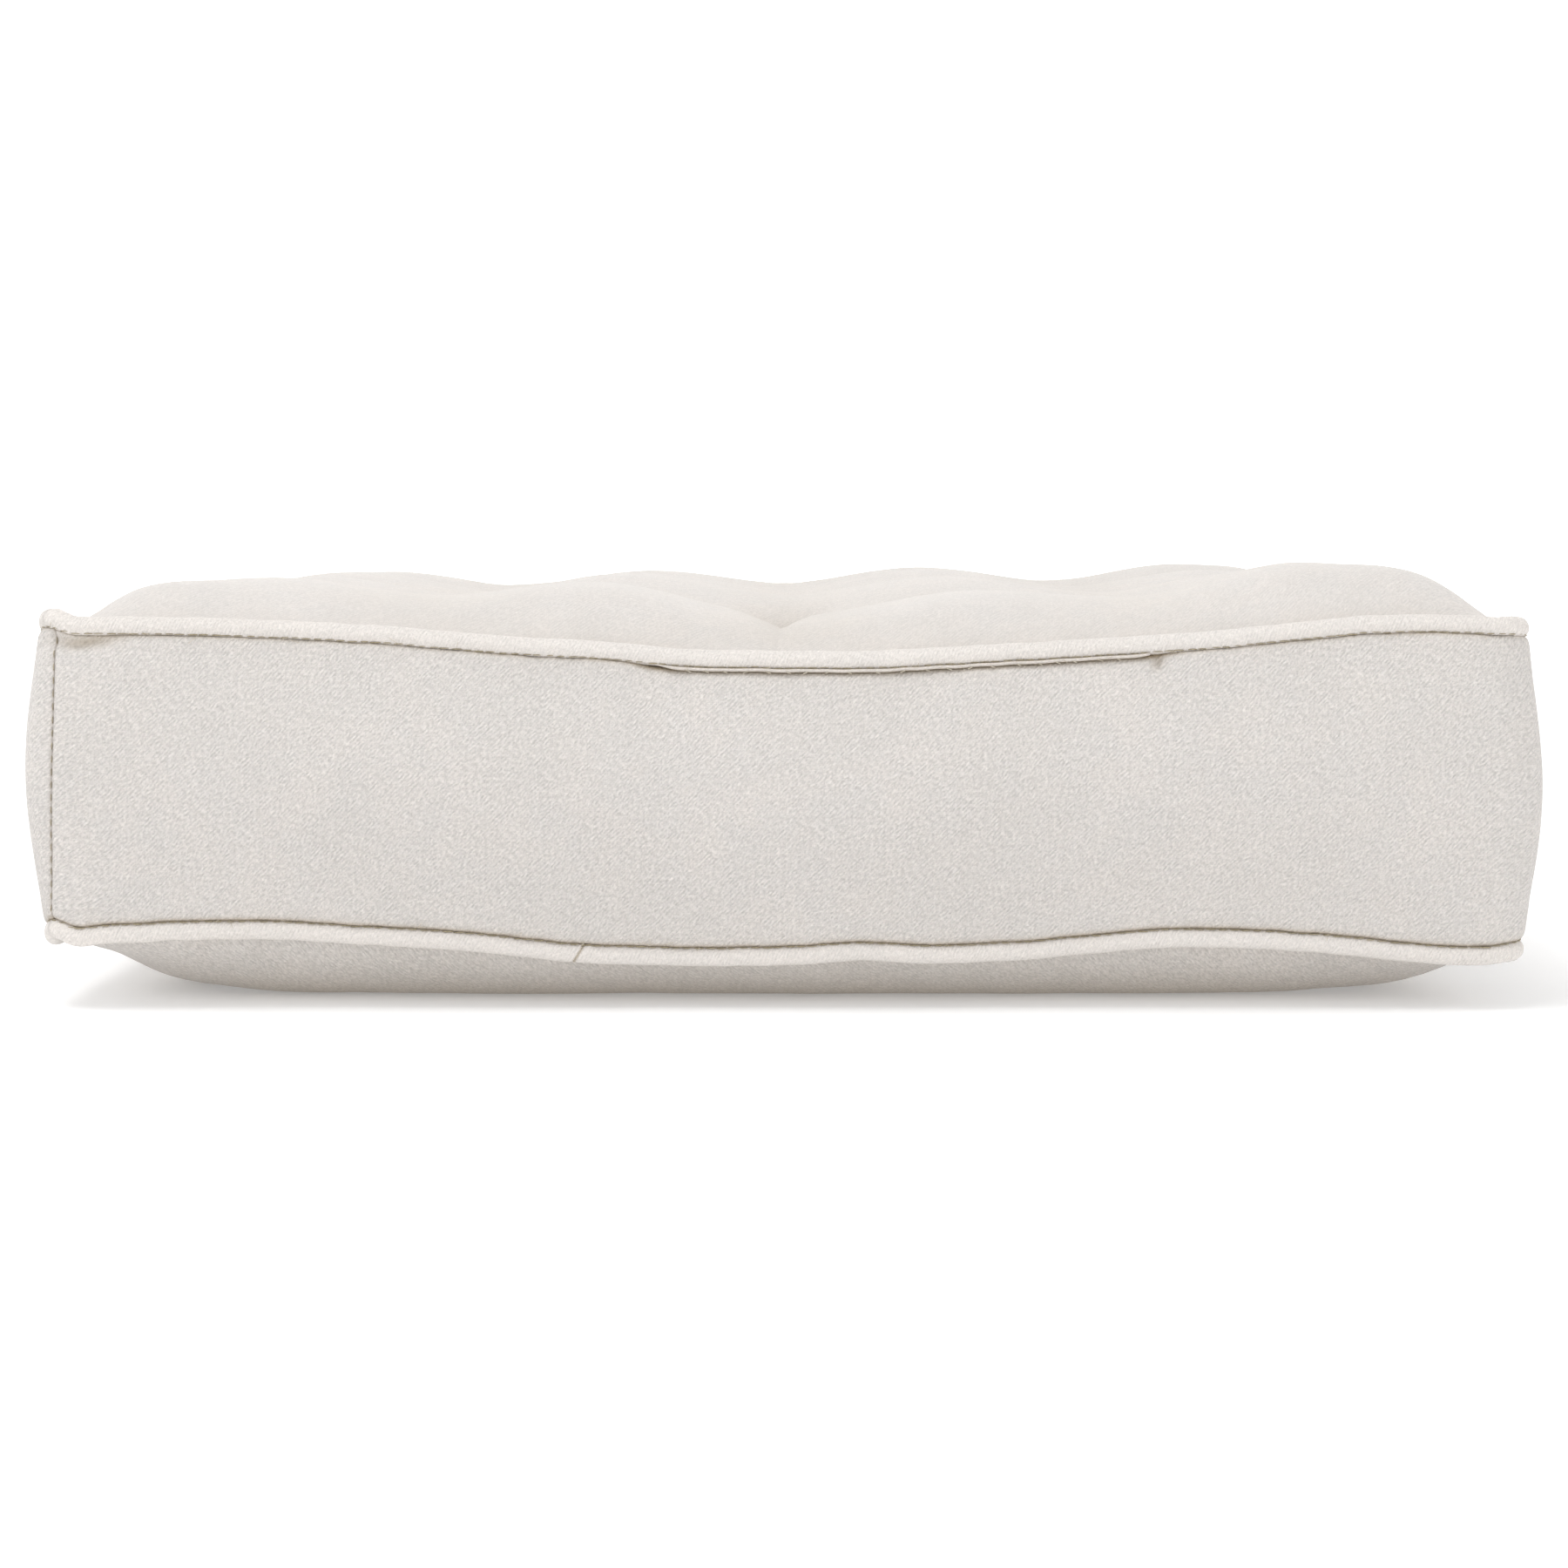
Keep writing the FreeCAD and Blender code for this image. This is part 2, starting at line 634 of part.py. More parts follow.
def corner_thread(label, end):
    """The stitches of an upright boxing seam: short bars through the pair of end allowances."""
    band_low = dim("seam_low") + wall
    band_high = seam_high - wall
    count = int((band_high - band_low - 6) / dim("stitch_pitch"))
    along = Vector(1, 1, 0).normalize()
    aside = Vector(1, -1, 0).normalize()
    bars = []
    spot = along * (end * (half_side * math.sqrt(2) - 6.0))
    for k in range(count):
        z = band_low + 4 + k * dim("stitch_pitch")
        rise = Vector(0, 0, dim("stitch_pitch") * 0.7)
        for side in (-1, 1):
            base = spot + aside * (side * (cloth + dim("thread_dia") / 2)) + Vector(0, 0, z)
            bars.append(Part.makeCylinder(dim("thread_dia") / 2 - 0.01, rise.z, base, Vector(0, 0, 1)))
    add_shape(label, Part.makeCompound(bars))


corner_thread("corner_thread_front_left", -1)
corner_thread("corner_thread_back_right", 1)


def join_thread(label, x, side, level):
    """The seam that joins the two ends of a bias strip: a turn of thread, open towards the allowance."""
    ring = doc.addObject("Part::Torus", label)
    ring.Label = label
    tube = "Dims.cord_dia / 2 + Dims.cover_wall"
    ring.setExpression("Radius1", tube + " + Dims.thread_dia / 2")
    ring.setExpression("Radius2", "Dims.thread_dia / 2 - 0.01")
    ring.Angle3 = 240
    turn = Rotation(Vector(0, 0, 1), 90 * -side + 60)
    ring.Placement = Placement(Vector(0, 0, 0), Rotation(Vector(0, 1, 0), 90) * turn)
    ring.setExpression("Placement.Base.x", x)
    ring.setExpression("Placement.Base.y", "%d * (Dims.side_len / 2 + %s)" % (side, tube))
    ring.setExpression("Placement.Base.z", level)
    nodes.append(ring)


join_thread("welt_join_thread_bottom", "Dims.join_low", -1, "Dims.seam_low")
join_thread("welt_join_thread_top", "Dims.join_high", 1, SEAM_HIGH)


def closing_stitch():
    """Hand stitches that close the opening: short bars in the groove under the upper piping."""
    body = new_body("closing_stitch")
    profile = new_sketch(body, "stitch_profile", "YZ_Plane")
    profile.setExpression("AttachmentOffset.Base.z", "Dims.opening_from")
    groove = "-Dims.side_len / 2 - 1.5"
    level = SEAM_HIGH + " - Dims.cord_dia / 2 - Dims.cover_wall"
    level_value = seam_high - tube_rad
    thread = dim("thread_dia") / 2
    circle_in(profile, groove, level, "Dims.thread_dia / 2", -half_side - 1.5, level_value, thread)
    bar = pad(body, "stitch", profile, "0.7 * Dims.stitch_pitch")
    row = body.newObject("PartDesign::LinearPattern", "stitches")
    row.Originals = [bar]
    row.Direction = (profile, ["N_Axis"])
    row.setExpression("Length", "Dims.opening_to - Dims.opening_from - 0.7 * Dims.stitch_pitch")
    row.Occurrences = int((dim("opening_to") - dim("opening_from")) / dim("stitch_pitch"))
    body.Tip = row


closing_stitch()


# ---------------------------------------------------------------- checks and export

doc.recompute()
for item in doc.Objects:
    if "Invalid" in item.State or "Error" in item.State:
        raise RuntimeError("%s did not compute: %s" % (item.Name, item.State))

os.makedirs("parts", exist_ok=True)
for node in nodes:
    shape = node.Shape
    if shape.isNull() or not shape.isValid() or not shape.Solids:
        raise RuntimeError("%s has no valid solid" % node.Label)
    shape.exportStep("parts/%s.step" % node.Label)
    box = shape.optimalBoundingBox(False, False)
    print(
        "%-26s solids %3d volume %12.1f  x %.1f..%.1f y %.1f..%.1f z %.2f..%.2f"
        % (
            node.Label, len(shape.Solids), shape.Volume,
            box.XMin, box.XMax, box.YMin, box.YMax, box.ZMin, box.ZMax,
        )
    )
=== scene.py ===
import math

import bpy
import numpy as np
from mathutils.kdtree import KDTree
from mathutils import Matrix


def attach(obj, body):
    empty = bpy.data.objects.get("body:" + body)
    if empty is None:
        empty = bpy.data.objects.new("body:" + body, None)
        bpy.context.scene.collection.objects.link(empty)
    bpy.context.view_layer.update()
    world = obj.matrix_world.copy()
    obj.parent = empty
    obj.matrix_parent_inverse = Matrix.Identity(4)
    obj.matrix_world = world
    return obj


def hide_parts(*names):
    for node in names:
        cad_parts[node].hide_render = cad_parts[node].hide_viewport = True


# A tufted, piped, box-edge seat pad. Lengths are in millimetres until a mesh is made.
# The side with the hand-closed opening faces -Y, and the pad rests on z = 0.

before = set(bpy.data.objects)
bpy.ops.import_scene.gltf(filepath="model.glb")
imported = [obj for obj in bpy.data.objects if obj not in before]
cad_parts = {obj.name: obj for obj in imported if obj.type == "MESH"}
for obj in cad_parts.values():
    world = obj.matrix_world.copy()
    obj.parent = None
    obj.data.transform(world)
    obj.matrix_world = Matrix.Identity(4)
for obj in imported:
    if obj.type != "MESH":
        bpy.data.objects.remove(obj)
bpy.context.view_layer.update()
MM = 0.001
TURN = 2 * math.pi
UP = np.array([0.0, 0.0, 1.0])

# --- sizes

HALF = 200.0            # seam line to centre
SIDE = 2 * HALF
CORNER = 9.0            # plan radius of the seam line at a corner
DRAWN_IN = 2.6          # how far the seam pulls in at the middle of a side
PITCH = 100.0           # between ties
TUFTS = [(c * PITCH, r * PITCH) for r in (-1, 0, 1) for c in (-1, 0, 1)]

WELT_R = 2.65           # piping radius
WELT_OUT = 0.4          # piping centre outside the seam line
WELT_UP = 1.75          # and above the upper crease
WELT_DOWN = 2.55        # and below the lower crease
TUCK = 0.5              # how far the band runs up behind the piping

SHOULDER = 3.1          # how far the band stands out just past a seam
SHOULDER_TURN = 0.9     # the distance in which it does so
SWELL = 3.9             # how much further it swells at mid height at a corner
SWELL_MIDDLE = 3.0      # and how much more in the middle of a side

COLS = 96               # cells across a panel while the cloth settles
ROWS = 20               # and up the band
EDGE_CELLS = 3          # cells along each edge with closer lines in the finished cloth
BAND_ROWS = 52          # rows of cells up the finished band
PIPING_RINGS = 320      # rings of points in a piping's cover along a side
CORD_RINGS = 200        # and in its cord
CLOTH = 0.7             # cloth thickness
FILLING_IN = 3.2        # how far inside the settled cloths the filling is drawn
STITCH_PITCH = 3.1      # of the machine seams
HOLLOW = 13.0           # reach of the hollow round a tie
SEAM_GROOVE = 2.0       # how deep the panels dip beside the piping

PLEAT = ((0.0, -PITCH), (-3.0, -196.0))  # the upper cloth's pleat, from a tie to near the seam
TUFT_TOP = 97.5         # height of the upper cloth at a tie
TUFT_LOW = 8.0          # and of the lower cloth
WRINKLES = 0.4          # how much of the settled cloths' small wrinkles is kept
KEPT_SWELL = 0.12       # and of their broad swelling, which the heights above already hold
REST_SOFT = 1.0         # how gradually the lower cloth meets the floor
SLACK_MOTION = 5.0      # the most that settling may move a point

# Heights of the two creases round the pad, as (place, height). A place counts sides from the
# front-left corner: 0 to 1 is the front, 1 to 2 the right, 2 to 3 the back and 3 to 4 the left.
TOP_CREASE = [
    (0.0, 102.4), (0.07, 102.6), (0.13, 102.0), (0.19, 101.0), (0.24, 99.8), (0.31, 97.4), (0.38, 95.8),
    (0.43, 93.9), (0.50, 93.4), (0.56, 93.4), (0.62, 94.6), (0.68, 95.9), (0.74, 97.4), (0.79, 98.8),
    (0.86, 101.6), (0.90, 103.0), (0.96, 103.0), (1.0, 101.8),
    (1.12, 100.6), (1.25, 97.2), (1.36, 98.4), (1.50, 94.6), (1.63, 97.0), (1.75, 98.6), (1.88, 101.6),
    (2.0, 101.6), (2.14, 100.4), (2.25, 97.8), (2.37, 96.6), (2.50, 94.0), (2.62, 96.8), (2.75, 97.2),
    (2.88, 101.0), (3.0, 102.2), (3.12, 100.8), (3.25, 98.4), (3.38, 97.2), (3.50, 95.2), (3.64, 96.4),
    (3.75, 99.4), (3.88, 101.4),
]
LOW_CREASE = [
    (0.0, 21.4), (0.05, 23.6), (0.14, 24.4), (0.21, 23.0), (0.29, 21.0), (0.36, 17.9), (0.44, 16.9),
    (0.50, 17.2), (0.555, 18.5), (0.60, 17.6), (0.67, 18.8), (0.735, 21.4), (0.78, 22.3), (0.855, 21.1),
    (0.91, 18.9), (0.96, 17.4), (1.0, 18.0),
    (1.13, 21.6), (1.25, 22.8), (1.38, 18.4), (1.50, 17.2), (1.62, 18.8), (1.76, 22.4), (1.87, 20.8),
    (2.0, 19.2), (2.12, 22.4), (2.25, 21.0), (2.38, 17.6), (2.50, 18.4), (2.63, 17.0), (2.75, 21.8),
    (2.88, 22.6), (3.0, 19.8), (3.13, 21.6), (3.25, 22.0), (3.37, 18.8), (3.50, 16.8), (3.62, 18.6),
    (3.75, 21.4), (3.87, 22.8),
]
# Heights of the upper cloth on a square lattice of half a tie pitch, front row first, left to right:
# humps and the saddles between them; the ties hold the rest.
TIED = None
TOP_LATTICE = [
    [116.4, 111.6, 115.0, 104.6, 112.3, 111.2, 121.0],
    [110.2, TIED, 109.0, TIED, 108.4, TIED, 111.4],
    [115.4, 109.6, 116.6, 110.0, 115.6, 110.8, 117.0],
    [110.6, TIED, 109.2, TIED, 109.8, TIED, 110.8],
    [115.8, 109.4, 115.2, 110.6, 116.8, 111.2, 116.4],
    [110.0, TIED, 109.4, TIED, 110.2, TIED, 111.0],
    [114.8, 109.8, 115.2, 110.8, 116.4, 111.6, 117.8],
]
# The same for the lower cloth. Heights under 0 press on what the pad lies on, and end up flat.
LOW_LATTICE = [
    [0.6, -1.2, -1.5, -1.2, -1.5, -1.2, 0.9],
    [-1.0, TIED, 0.4, TIED, 0.2, TIED, -1.0],
    [-1.5, 0.3, -2.0, 0.5, -2.0, 0.2, -1.5],
    [-1.2, TIED, 0.6, TIED, 0.5, TIED, -1.2],
    [-1.5, 0.4, -2.0, 0.5, -2.0, 0.3, -1.5],
    [-1.0, TIED, 0.2, TIED, 0.4, TIED, -1.0],
    [0.7, -1.1, -1.5, -1.2, -1.5, -1.0, 0.6],
]
EDGE_IN = 20.0          # a little way in from the seam,
EDGE_RISE = 0.73        # the upper cloth has made this share of its rise,
EDGE_RISE_CORNER = 0.66  # and this much at a corner;
LOW_EDGE = 0.20         # the lower cloth has this share of its drop left,
LOW_EDGE_CORNER = 0.46  # and this much at a corner

TOP_LIFT = (2.2, 0.7, 0.9, 1.1)  # how far the upper seam rides up at each corner
LOW_LIFT = (3.2, 0.4, 0.6, 0.8)  # and the lower seam
STRIP_JOIN = 7 / 576    # place of an upright band seam at mid height, past its corner
STRIP_LEAN_TOP = 2.6    # how much nearer the corner it is at the top
STRIP_LEAN_LOW = 5.5    # and at the bottom
PIPING_SLANT = 1.3      # how far the join in a piping leans to either side
OPENING = (-34.0, 98.0)  # the hand-closed opening, along the front
OPENING_DROP = 1.4      # how far the band's folded edge hangs below the crease there
PUCKER_X = OPENING[1] + 3.0  # a pucker in the band just past the opening
PUCKER_DOWN = 2.4       # and how far it is below the upper seam
TUCK_X = -189.0         # a tuck in the band under the upper piping, beside the front-left seam
PIPING_JOIN_LOW = -56.0  # where the lower piping's ends are joined, along the front
PIPING_JOIN_TOP = 2.43   # the same for the upper piping, as a place on the back

# --- curves round the pad


def bell(distance, width):
    """1 at no distance, falling to nothing beyond about two widths."""
    return np.exp(-(distance / width) ** 2)


def unit(vectors):
    return vectors / np.linalg.norm(vectors, axis=-1, keepdims=True)


def between(u, span, start, end, slope_start, slope_end):
    """A smooth curve from one knot to the next, at shares u of the span between them."""
    rise = 3 * u ** 2 - 2 * u ** 3
    bend = (u ** 3 - 2 * u ** 2 + u) * slope_start + (u ** 3 - u ** 2) * slope_end
    return start * (1 - rise) + end * rise + span * bend


def ring_curve(knots, place):
    """A smooth closed curve through (place, value) knots."""
    at, value = np.array(knots).T
    after = np.append(at[1:], at[0] + 4.0)
    before = np.insert(at[:-1], 0, at[-1] - 4.0)
    slope = (np.roll(value, -1) - np.roll(value, 1)) / (after - before)
    p = np.mod(place, 4.0)
    k = np.searchsorted(at, p, side="right") - 1
    k2 = (k + 1) % len(at)
    span = after[k] - at[k]
    return between((p - at[k]) / span, span, value[k], value[k2], slope[k], slope[k2])


def ripple(place, shortest, longest, seed):
    """Uneven waves round the pad, about 1 high, with wavelengths in a range."""
    r = np.random.default_rng(seed)
    total = np.zeros_like(place)
    count = 26
    for _ in range(count):
        turns = round(4 * SIDE / r.uniform(shortest, longest))
        total += np.sin(TURN * turns * place / 4.0 + r.uniform(0, TURN)) * r.uniform(0.5, 1.2)
    patches = 0.6 + 0.4 * np.sin(TURN * 5 * place / 4.0 + r.uniform(0, 6)) * np.sin(
        TURN * 13 * place / 4.0 + r.uniform(0, 6))
    return total / math.sqrt(count) * patches


def plan(s, t):
    """Where a panel's point (s, t from -1 to 1) lies: a square with round corners and drawn-in sides."""
    x, y = s * HALF, t * HALF
    c = HALF - CORNER
    dx = np.clip(np.abs(x) - c, 0, None) / CORNER
    dy = np.clip(np.abs(y) - c, 0, None) / CORNER
    corner = (dx > 0) & (dy > 0)
    px = np.where(corner, np.sign(x) * (c + CORNER * dx * np.sqrt(1 - dy * dy / 2)), x)
    py = np.where(corner, np.sign(y) * (c + CORNER * dy * np.sqrt(1 - dx * dx / 2)), y)
    in_x = DRAWN_IN * (1 - t * t) + 0.7 * np.cos(4 * math.pi * t + 0.6) * (1 - t ** 4)
    in_y = DRAWN_IN * (1 - s * s) + 0.7 * np.cos(4 * math.pi * s + 2.1) * (1 - s ** 4)
    return px - s * np.abs(s) * in_x, py - t * np.abs(t) * in_y


def ring_point(place):
    """Plan position of the seam line at a place."""
    p = np.mod(place, 4.0)
    side = np.floor(p).astype(int)
    f = 2 * (p - side) - 1
    one = np.ones_like(f)
    s = np.choose(side, [f, one, -f, -one])
    t = np.choose(side, [-one, f, one, -f])
    return np.stack(plan(s, t), axis=-1)


def ring_out(place):
    """Outward direction, in plan, at a place."""
    step = 4e-4
    along = unit(ring_point(place + step) - ring_point(place - step))
    return np.stack([along[..., 1], -along[..., 0]], axis=-1)


def front_x(place):
    """The x of a place on the front, and far away for other sides."""
    p = np.mod(place, 4.0)
    return np.where(p <= 1.0, (2 * p - 1) * HALF, 1e4)


def front_place(x):
    """The place of an x on the front."""
    return (x / HALF + 1) / 2


def window(x, start, end, soft):
    """1 between start and end, easing to 0 over a soft distance outside."""
    up = np.clip((x - start) / soft + 1, 0, 1)
    down = np.clip((end - x) / soft + 1, 0, 1)
    return (up * up * (3 - 2 * up)) * (down * down * (3 - 2 * down))


def from_corner(place, corner):
    """How far a place is from a corner, along the seam."""
    return np.abs(np.mod(place - corner + 2.0, 4.0) - 2.0) * SIDE


def corner_lift(place, lifts):
    """How far a seam rides up towards the corners."""
    return sum(lift * bell(from_corner(place, k), 6.5) for k, lift in enumerate(lifts))


def top_crease(place):
    return ring_curve(TOP_CREASE, place) + 0.12 * ripple(place, 9, 30, 11) + corner_lift(place, TOP_LIFT)


def low_crease(place):
    return ring_curve(LOW_CREASE, place) + 0.14 * ripple(place, 9, 30, 12) + corner_lift(place, LOW_LIFT)


def welt_axis(place, upper):
    """Centre line of the upper or lower piping."""
    out = WELT_OUT + 0.12 * ripple(place, 20, 60, 13 if upper else 14)
    xy = ring_point(place) + ring_out(place) * out[..., None]
    z = top_crease(place) + WELT_UP if upper else low_crease(place) - WELT_DOWN
    return np.concatenate([xy, z[..., None]], axis=-1)


def seam_frame(place):
    """At one place on the seam: its point in plan, and the directions out and along."""
    x, y = ring_point(place)
    out_x, out_y = ring_out(place)
    return np.array([x, y, 0.0]), np.array([out_x, out_y, 0.0]), np.array([-out_y, out_x, 0.0])


# --- the band between the seams

def from_strip_join(place):
    """How far along the seam a place is from the nearer upright band seam, at mid height."""
    return (np.mod(place + 1.0, 2.0) - 1.0 - STRIP_JOIN) * SIDE


def leaning(place, v):
    """Places for each row and height: near an upright seam they lean to the corner at both ends."""
    away = from_strip_join(place)
    lean = STRIP_LEAN_TOP * v ** 3 + STRIP_LEAN_LOW * (1 - v) ** 3
    return place[:, None] - bell(away, 9.0)[:, None] * lean / SIDE


def band_shape(place, v):
    """Band surface at places (rows) and shares v of its height (columns), and which way is out."""
    place = leaning(place, v)
    top = top_crease(place) + TUCK - OPENING_DROP * window(front_x(place), *OPENING, 12.0)
    low = low_crease(place) - TUCK
    tall = top - low
    z = low + tall * v
    near = np.minimum(v, 1 - v) * tall
    f = np.mod(place, 1.0)
    swell = SWELL + SWELL_MIDDLE * (1 - (2 * f - 1) ** 2)
    out = SHOULDER * (1 - np.exp(-near / SHOULDER_TURN))
    out = out + swell * np.sin(math.pi * v) ** 1.4
    direction = ring_out(place)
    xy = ring_point(place) + direction * out[..., None]
    return np.concatenate([xy, z[..., None]], axis=-1), direction


def band_detail(place, v):
    """How far the finished band stands in or out of its plain shape."""
    tall = (top_crease(place) - low_crease(place))[:, None]
    under_top = (1 - v) * tall
    over_low = v * tall
    waves = (
        (0.30, 7, 15, 21, np.exp(-under_top / 5.0)),
        (0.34, 7, 15, 22, np.exp(-over_low / 5.0)),
        (0.55, 28, 70, 23, np.exp(-under_top / 20.0)),
        (0.60, 28, 70, 24, np.exp(-over_low / 20.0)),
        (0.55, 90, 200, 25, np.sin(math.pi * v)),
    )
    d = np.zeros_like(under_top)
    for depth, shortest, longest, seed, share in waves:
        d += depth * ripple(place, shortest, longest, seed)[:, None] * share
    slant = place[:, None] + 0.05 * v
    d += 0.25 * ripple(slant, 40, 90, 26) * np.sin(TURN * v + 0.6)
    # the upright seams lie in a groove between two plump edges
    away = np.abs(from_strip_join(place))[:, None]
    d += 0.30 * bell(away - 2.4, 1.4) - 0.40 * bell(away, 0.5)
    # tucks beside the front-left seam, under the upper piping and over the lower one
    x = front_x(place)[:, None]
    fold = under_top - 3.4 + 0.14 * (x - TUCK_X)
    d -= 2.1 * bell(x - TUCK_X, 9.0) * bell(fold, 2.0)
    d -= 1.0 * bell(x - TUCK_X - 5.0, 7.0) * bell(over_low - 3.0, 2.4)
    # the pucker at the end of the opening, and wrinkles below it
    d -= 1.7 * bell(x - PUCKER_X, 1.5) * bell(under_top - PUCKER_DOWN, 2.3)
    for lean, reach, depth in ((0.0, 13.0, 0.38), (-0.55, 9.0, 0.28), (0.7, 8.0, 0.26)):
        d -= depth * bell(x - PUCKER_X - lean * under_top, 2.0) * bell(under_top, reach)
    return d


# --- the two panels

marks = np.linspace(-1, 1, COLS + 1)
S, T = np.meshgrid(marks, marks, indexing="ij")


def edges_of(height, at):
    """A height along the front, right, back and left edge, at places from -1 to 1 in x or y."""
    f = (at + 1) / 2
    return height(f), height(1 + f), height(3 - f), height(4 - f)


def sheet_between(front, right, back, left):
    """A smooth sheet over the panel that meets given heights along its four edges."""
    u, v = (S + 1) / 2, (T + 1) / 2
    z = (1 - v) * front[:, None] + v * back[:, None] + (1 - u) * left + u * right
    return z - ((1 - u) * (1 - v) * front[0] + u * (1 - v) * front[-1]
                + (1 - u) * v * back[0] + u * v * back[-1])


def through(knots, values, at):
    """A smooth curve through values at uneven knots."""
    slope = np.gradient(values, knots)
    k = np.clip(np.searchsorted(knots, at, side="right") - 1, 0, len(knots) - 2)
    span = knots[k + 1] - knots[k]
    return between((at - knots[k]) / span, span, values[k], values[k + 1], slope[k], slope[k + 1])


def tie_nodes():
    """Grid lines that cross at each tie."""
    return [tuple(int(round((c / HALF + 1) / 2 * COLS)) for c in tie) for tie in TUFTS]


def pillow(lattice, seam, side_share, corner_share):
    """A stuffed sheet through a lattice of heights, that meets the seam's height all round.

    The shares say how much of the height between seam and nearest hump is left a little way in."""
    inner = HALF - EDGE_IN
    at = np.array([-HALF, -inner, *(PITCH / 2 * np.arange(-3, 4)), inner, HALF])
    table = np.zeros((11, 11))
    body = np.array([[np.nan if z is TIED else z for z in row] for row in lattice], float).T
    for i, j in np.argwhere(np.isnan(body)):
        body[i, j] = (body[i - 1, j] + body[i + 1, j] + body[i, j - 1] + body[i, j + 1]) / 4
    table[2:-2, 2:-2] = body
    front, right, back, left = edges_of(seam, at / HALF)
    table[:, 0], table[:, -1], table[0, :], table[-1, :] = front, back, left, right
    for _ in range(4):  # each side and the corner where it starts
        edge, line, hump = table[2:-2, 0], table[2:-2, 1], table[2:-2, 2]
        line[:] = hump + side_share * (edge - hump)
        table[1, 1] = table[2, 2] + corner_share * (table[0, 0] - table[2, 2])
        table = np.rot90(table)
    w = np.stack([through(at, one, marks * HALF) for one in np.eye(11)], axis=1)
    z = w @ table @ w.T
    got = z[:, 0], z[-1, :], z[:, -1], z[0, :]
    miss = [wanted - line for wanted, line in zip(edges_of(seam, marks), got)]
    edge = (1 - np.maximum(np.abs(S), np.abs(T))) * HALF
    return z + sheet_between(*miss) * np.exp(-edge / 18.0)


def drawn_to_ties(z, height):
    """Draws a sheet to the ties, with a hollow round each."""
    total = z.copy()
    for (i, j), (tx, ty) in zip(tie_nodes(), TUFTS):
        away = np.hypot(S * HALF - tx, T * HALF - ty)
        total += (height - z[i, j]) * np.exp(-(away / HOLLOW) ** 1.2)
    return total


def eased(grid, passes, closed=False):
    """A grid of movements, smoothed by a number of passes."""
    for _ in range(passes):
        ahead, behind = np.roll(grid, -1, axis=0), np.roll(grid, 1, axis=0)
        if not closed:
            ahead[-1], behind[0] = grid[-1], grid[0]
        blend = (ahead + behind) / 2
        blend[:, 1:-1] = (blend[:, 1:-1] + (grid[:, 2:] + grid[:, :-2]) / 2) / 2
        grid = blend
    return grid


def pleat_limit():
    """The most the upper cloth may rise beside the pleat from the middle front tie to the seam."""
    tie, seam = np.array(PLEAT)
    tie_height, seam_height, rise = 101.5, 103.0, 0.36
    length = math.hypot(*(seam - tie))
    ux, uy = (seam - tie) / length
    x, y = S * HALF - tie[0], T * HALF - tie[1]
    along = np.clip(x * ux + y * uy, 0, length)
    away = np.hypot(x - along * ux, y - along * uy)
    return tie_height + (seam_height - tie_height) * along / length + rise * away


def upper_seam(place):
    return top_crease(place) + WELT_UP - 0.4


def lower_seam(place):
    return low_crease(place) - WELT_DOWN + 0.4


# The panels before they settle: humps between the ties above, nearly flat where it rests below.
upper_z = pillow(TOP_LATTICE, upper_seam, 1 - EDGE_RISE, 1 - EDGE_RISE_CORNER)
upper_z = np.minimum(drawn_to_ties(upper_z, TUFT_TOP), pleat_limit())
lower_z = drawn_to_ties(pillow(LOW_LATTICE, lower_seam, LOW_EDGE, LOW_EDGE_CORNER), TUFT_LOW)


# --- the cloth settles

coarse_place = np.concatenate([side + np.arange(COLS) / COLS for side in range(4)])
up_side, down_side = np.arange(COLS), np.arange(COLS, 0, -1)
first_line, last_line = np.zeros(COLS, int), np.full(COLS, COLS)
ring_i = np.concatenate([up_side, last_line, down_side, first_line])
ring_j = np.concatenate([first_line, up_side, last_line, down_side])


def grid_faces(rows, columns):
    """Quads of a grid of points stored row by row."""
    i, j = np.meshgrid(np.arange(rows - 1), np.arange(columns - 1), indexing="ij")
    a = (i * columns + j).ravel()
    return np.stack([a, a + columns, a + columns + 1, a + 1], axis=1)


def shell(upper_z, lower_z):
    """One closed mesh of both panels and the band: points, faces and the points held in place."""
    px, py = plan(S, T)
    n = COLS + 1
    top = np.stack([px, py, upper_z], axis=-1).reshape(-1, 3)
    low = np.stack([px, py, lower_z], axis=-1).reshape(-1, 3)
    side, _ = band_shape(coarse_place, np.linspace(0, 1, ROWS + 1))
    ring = len(coarse_place)
    points = np.concatenate([top, low, side[:, 1:-1].reshape(-1, 3)])
    top_ring = ring_i * n + ring_j
    low_ring = n * n + top_ring
    rows = np.arange(ring)[:, None] * (ROWS - 1) + np.arange(ROWS - 1) + 2 * n * n
    column = np.concatenate([low_ring[:, None], rows, top_ring[:, None]], axis=1)
    top_faces = grid_faces(n, n)
    low_faces = top_faces[:, ::-1] + n * n
    after = np.roll(column, -1, axis=0)
    side_faces = np.stack([column[:, :-1], after[:, :-1], after[:, 1:], column[:, 1:]], axis=-1)
    held = list(top_ring) + list(low_ring)
    for ti, tj in tie_nodes():
        held += [ti * n + tj, n * n + ti * n + tj]
    all_faces = np.concatenate([top_faces, low_faces, side_faces.reshape(-1, 4)])
    return points, all_faces, sorted({int(h) for h in held})


SETTLING = dict(
    quality=6, mass=0.02, tension_stiffness=12, compression_stiffness=12, shear_stiffness=6,
    bending_stiffness=0.02, tension_damping=8, compression_damping=8, shear_damping=8, air_damping=4,
    vertex_group_mass="held", use_pressure=True, uniform_pressure_force=4,
    shrink_min=-0.012, shrink_max=-0.012)
SETTLING_FRAMES = 22


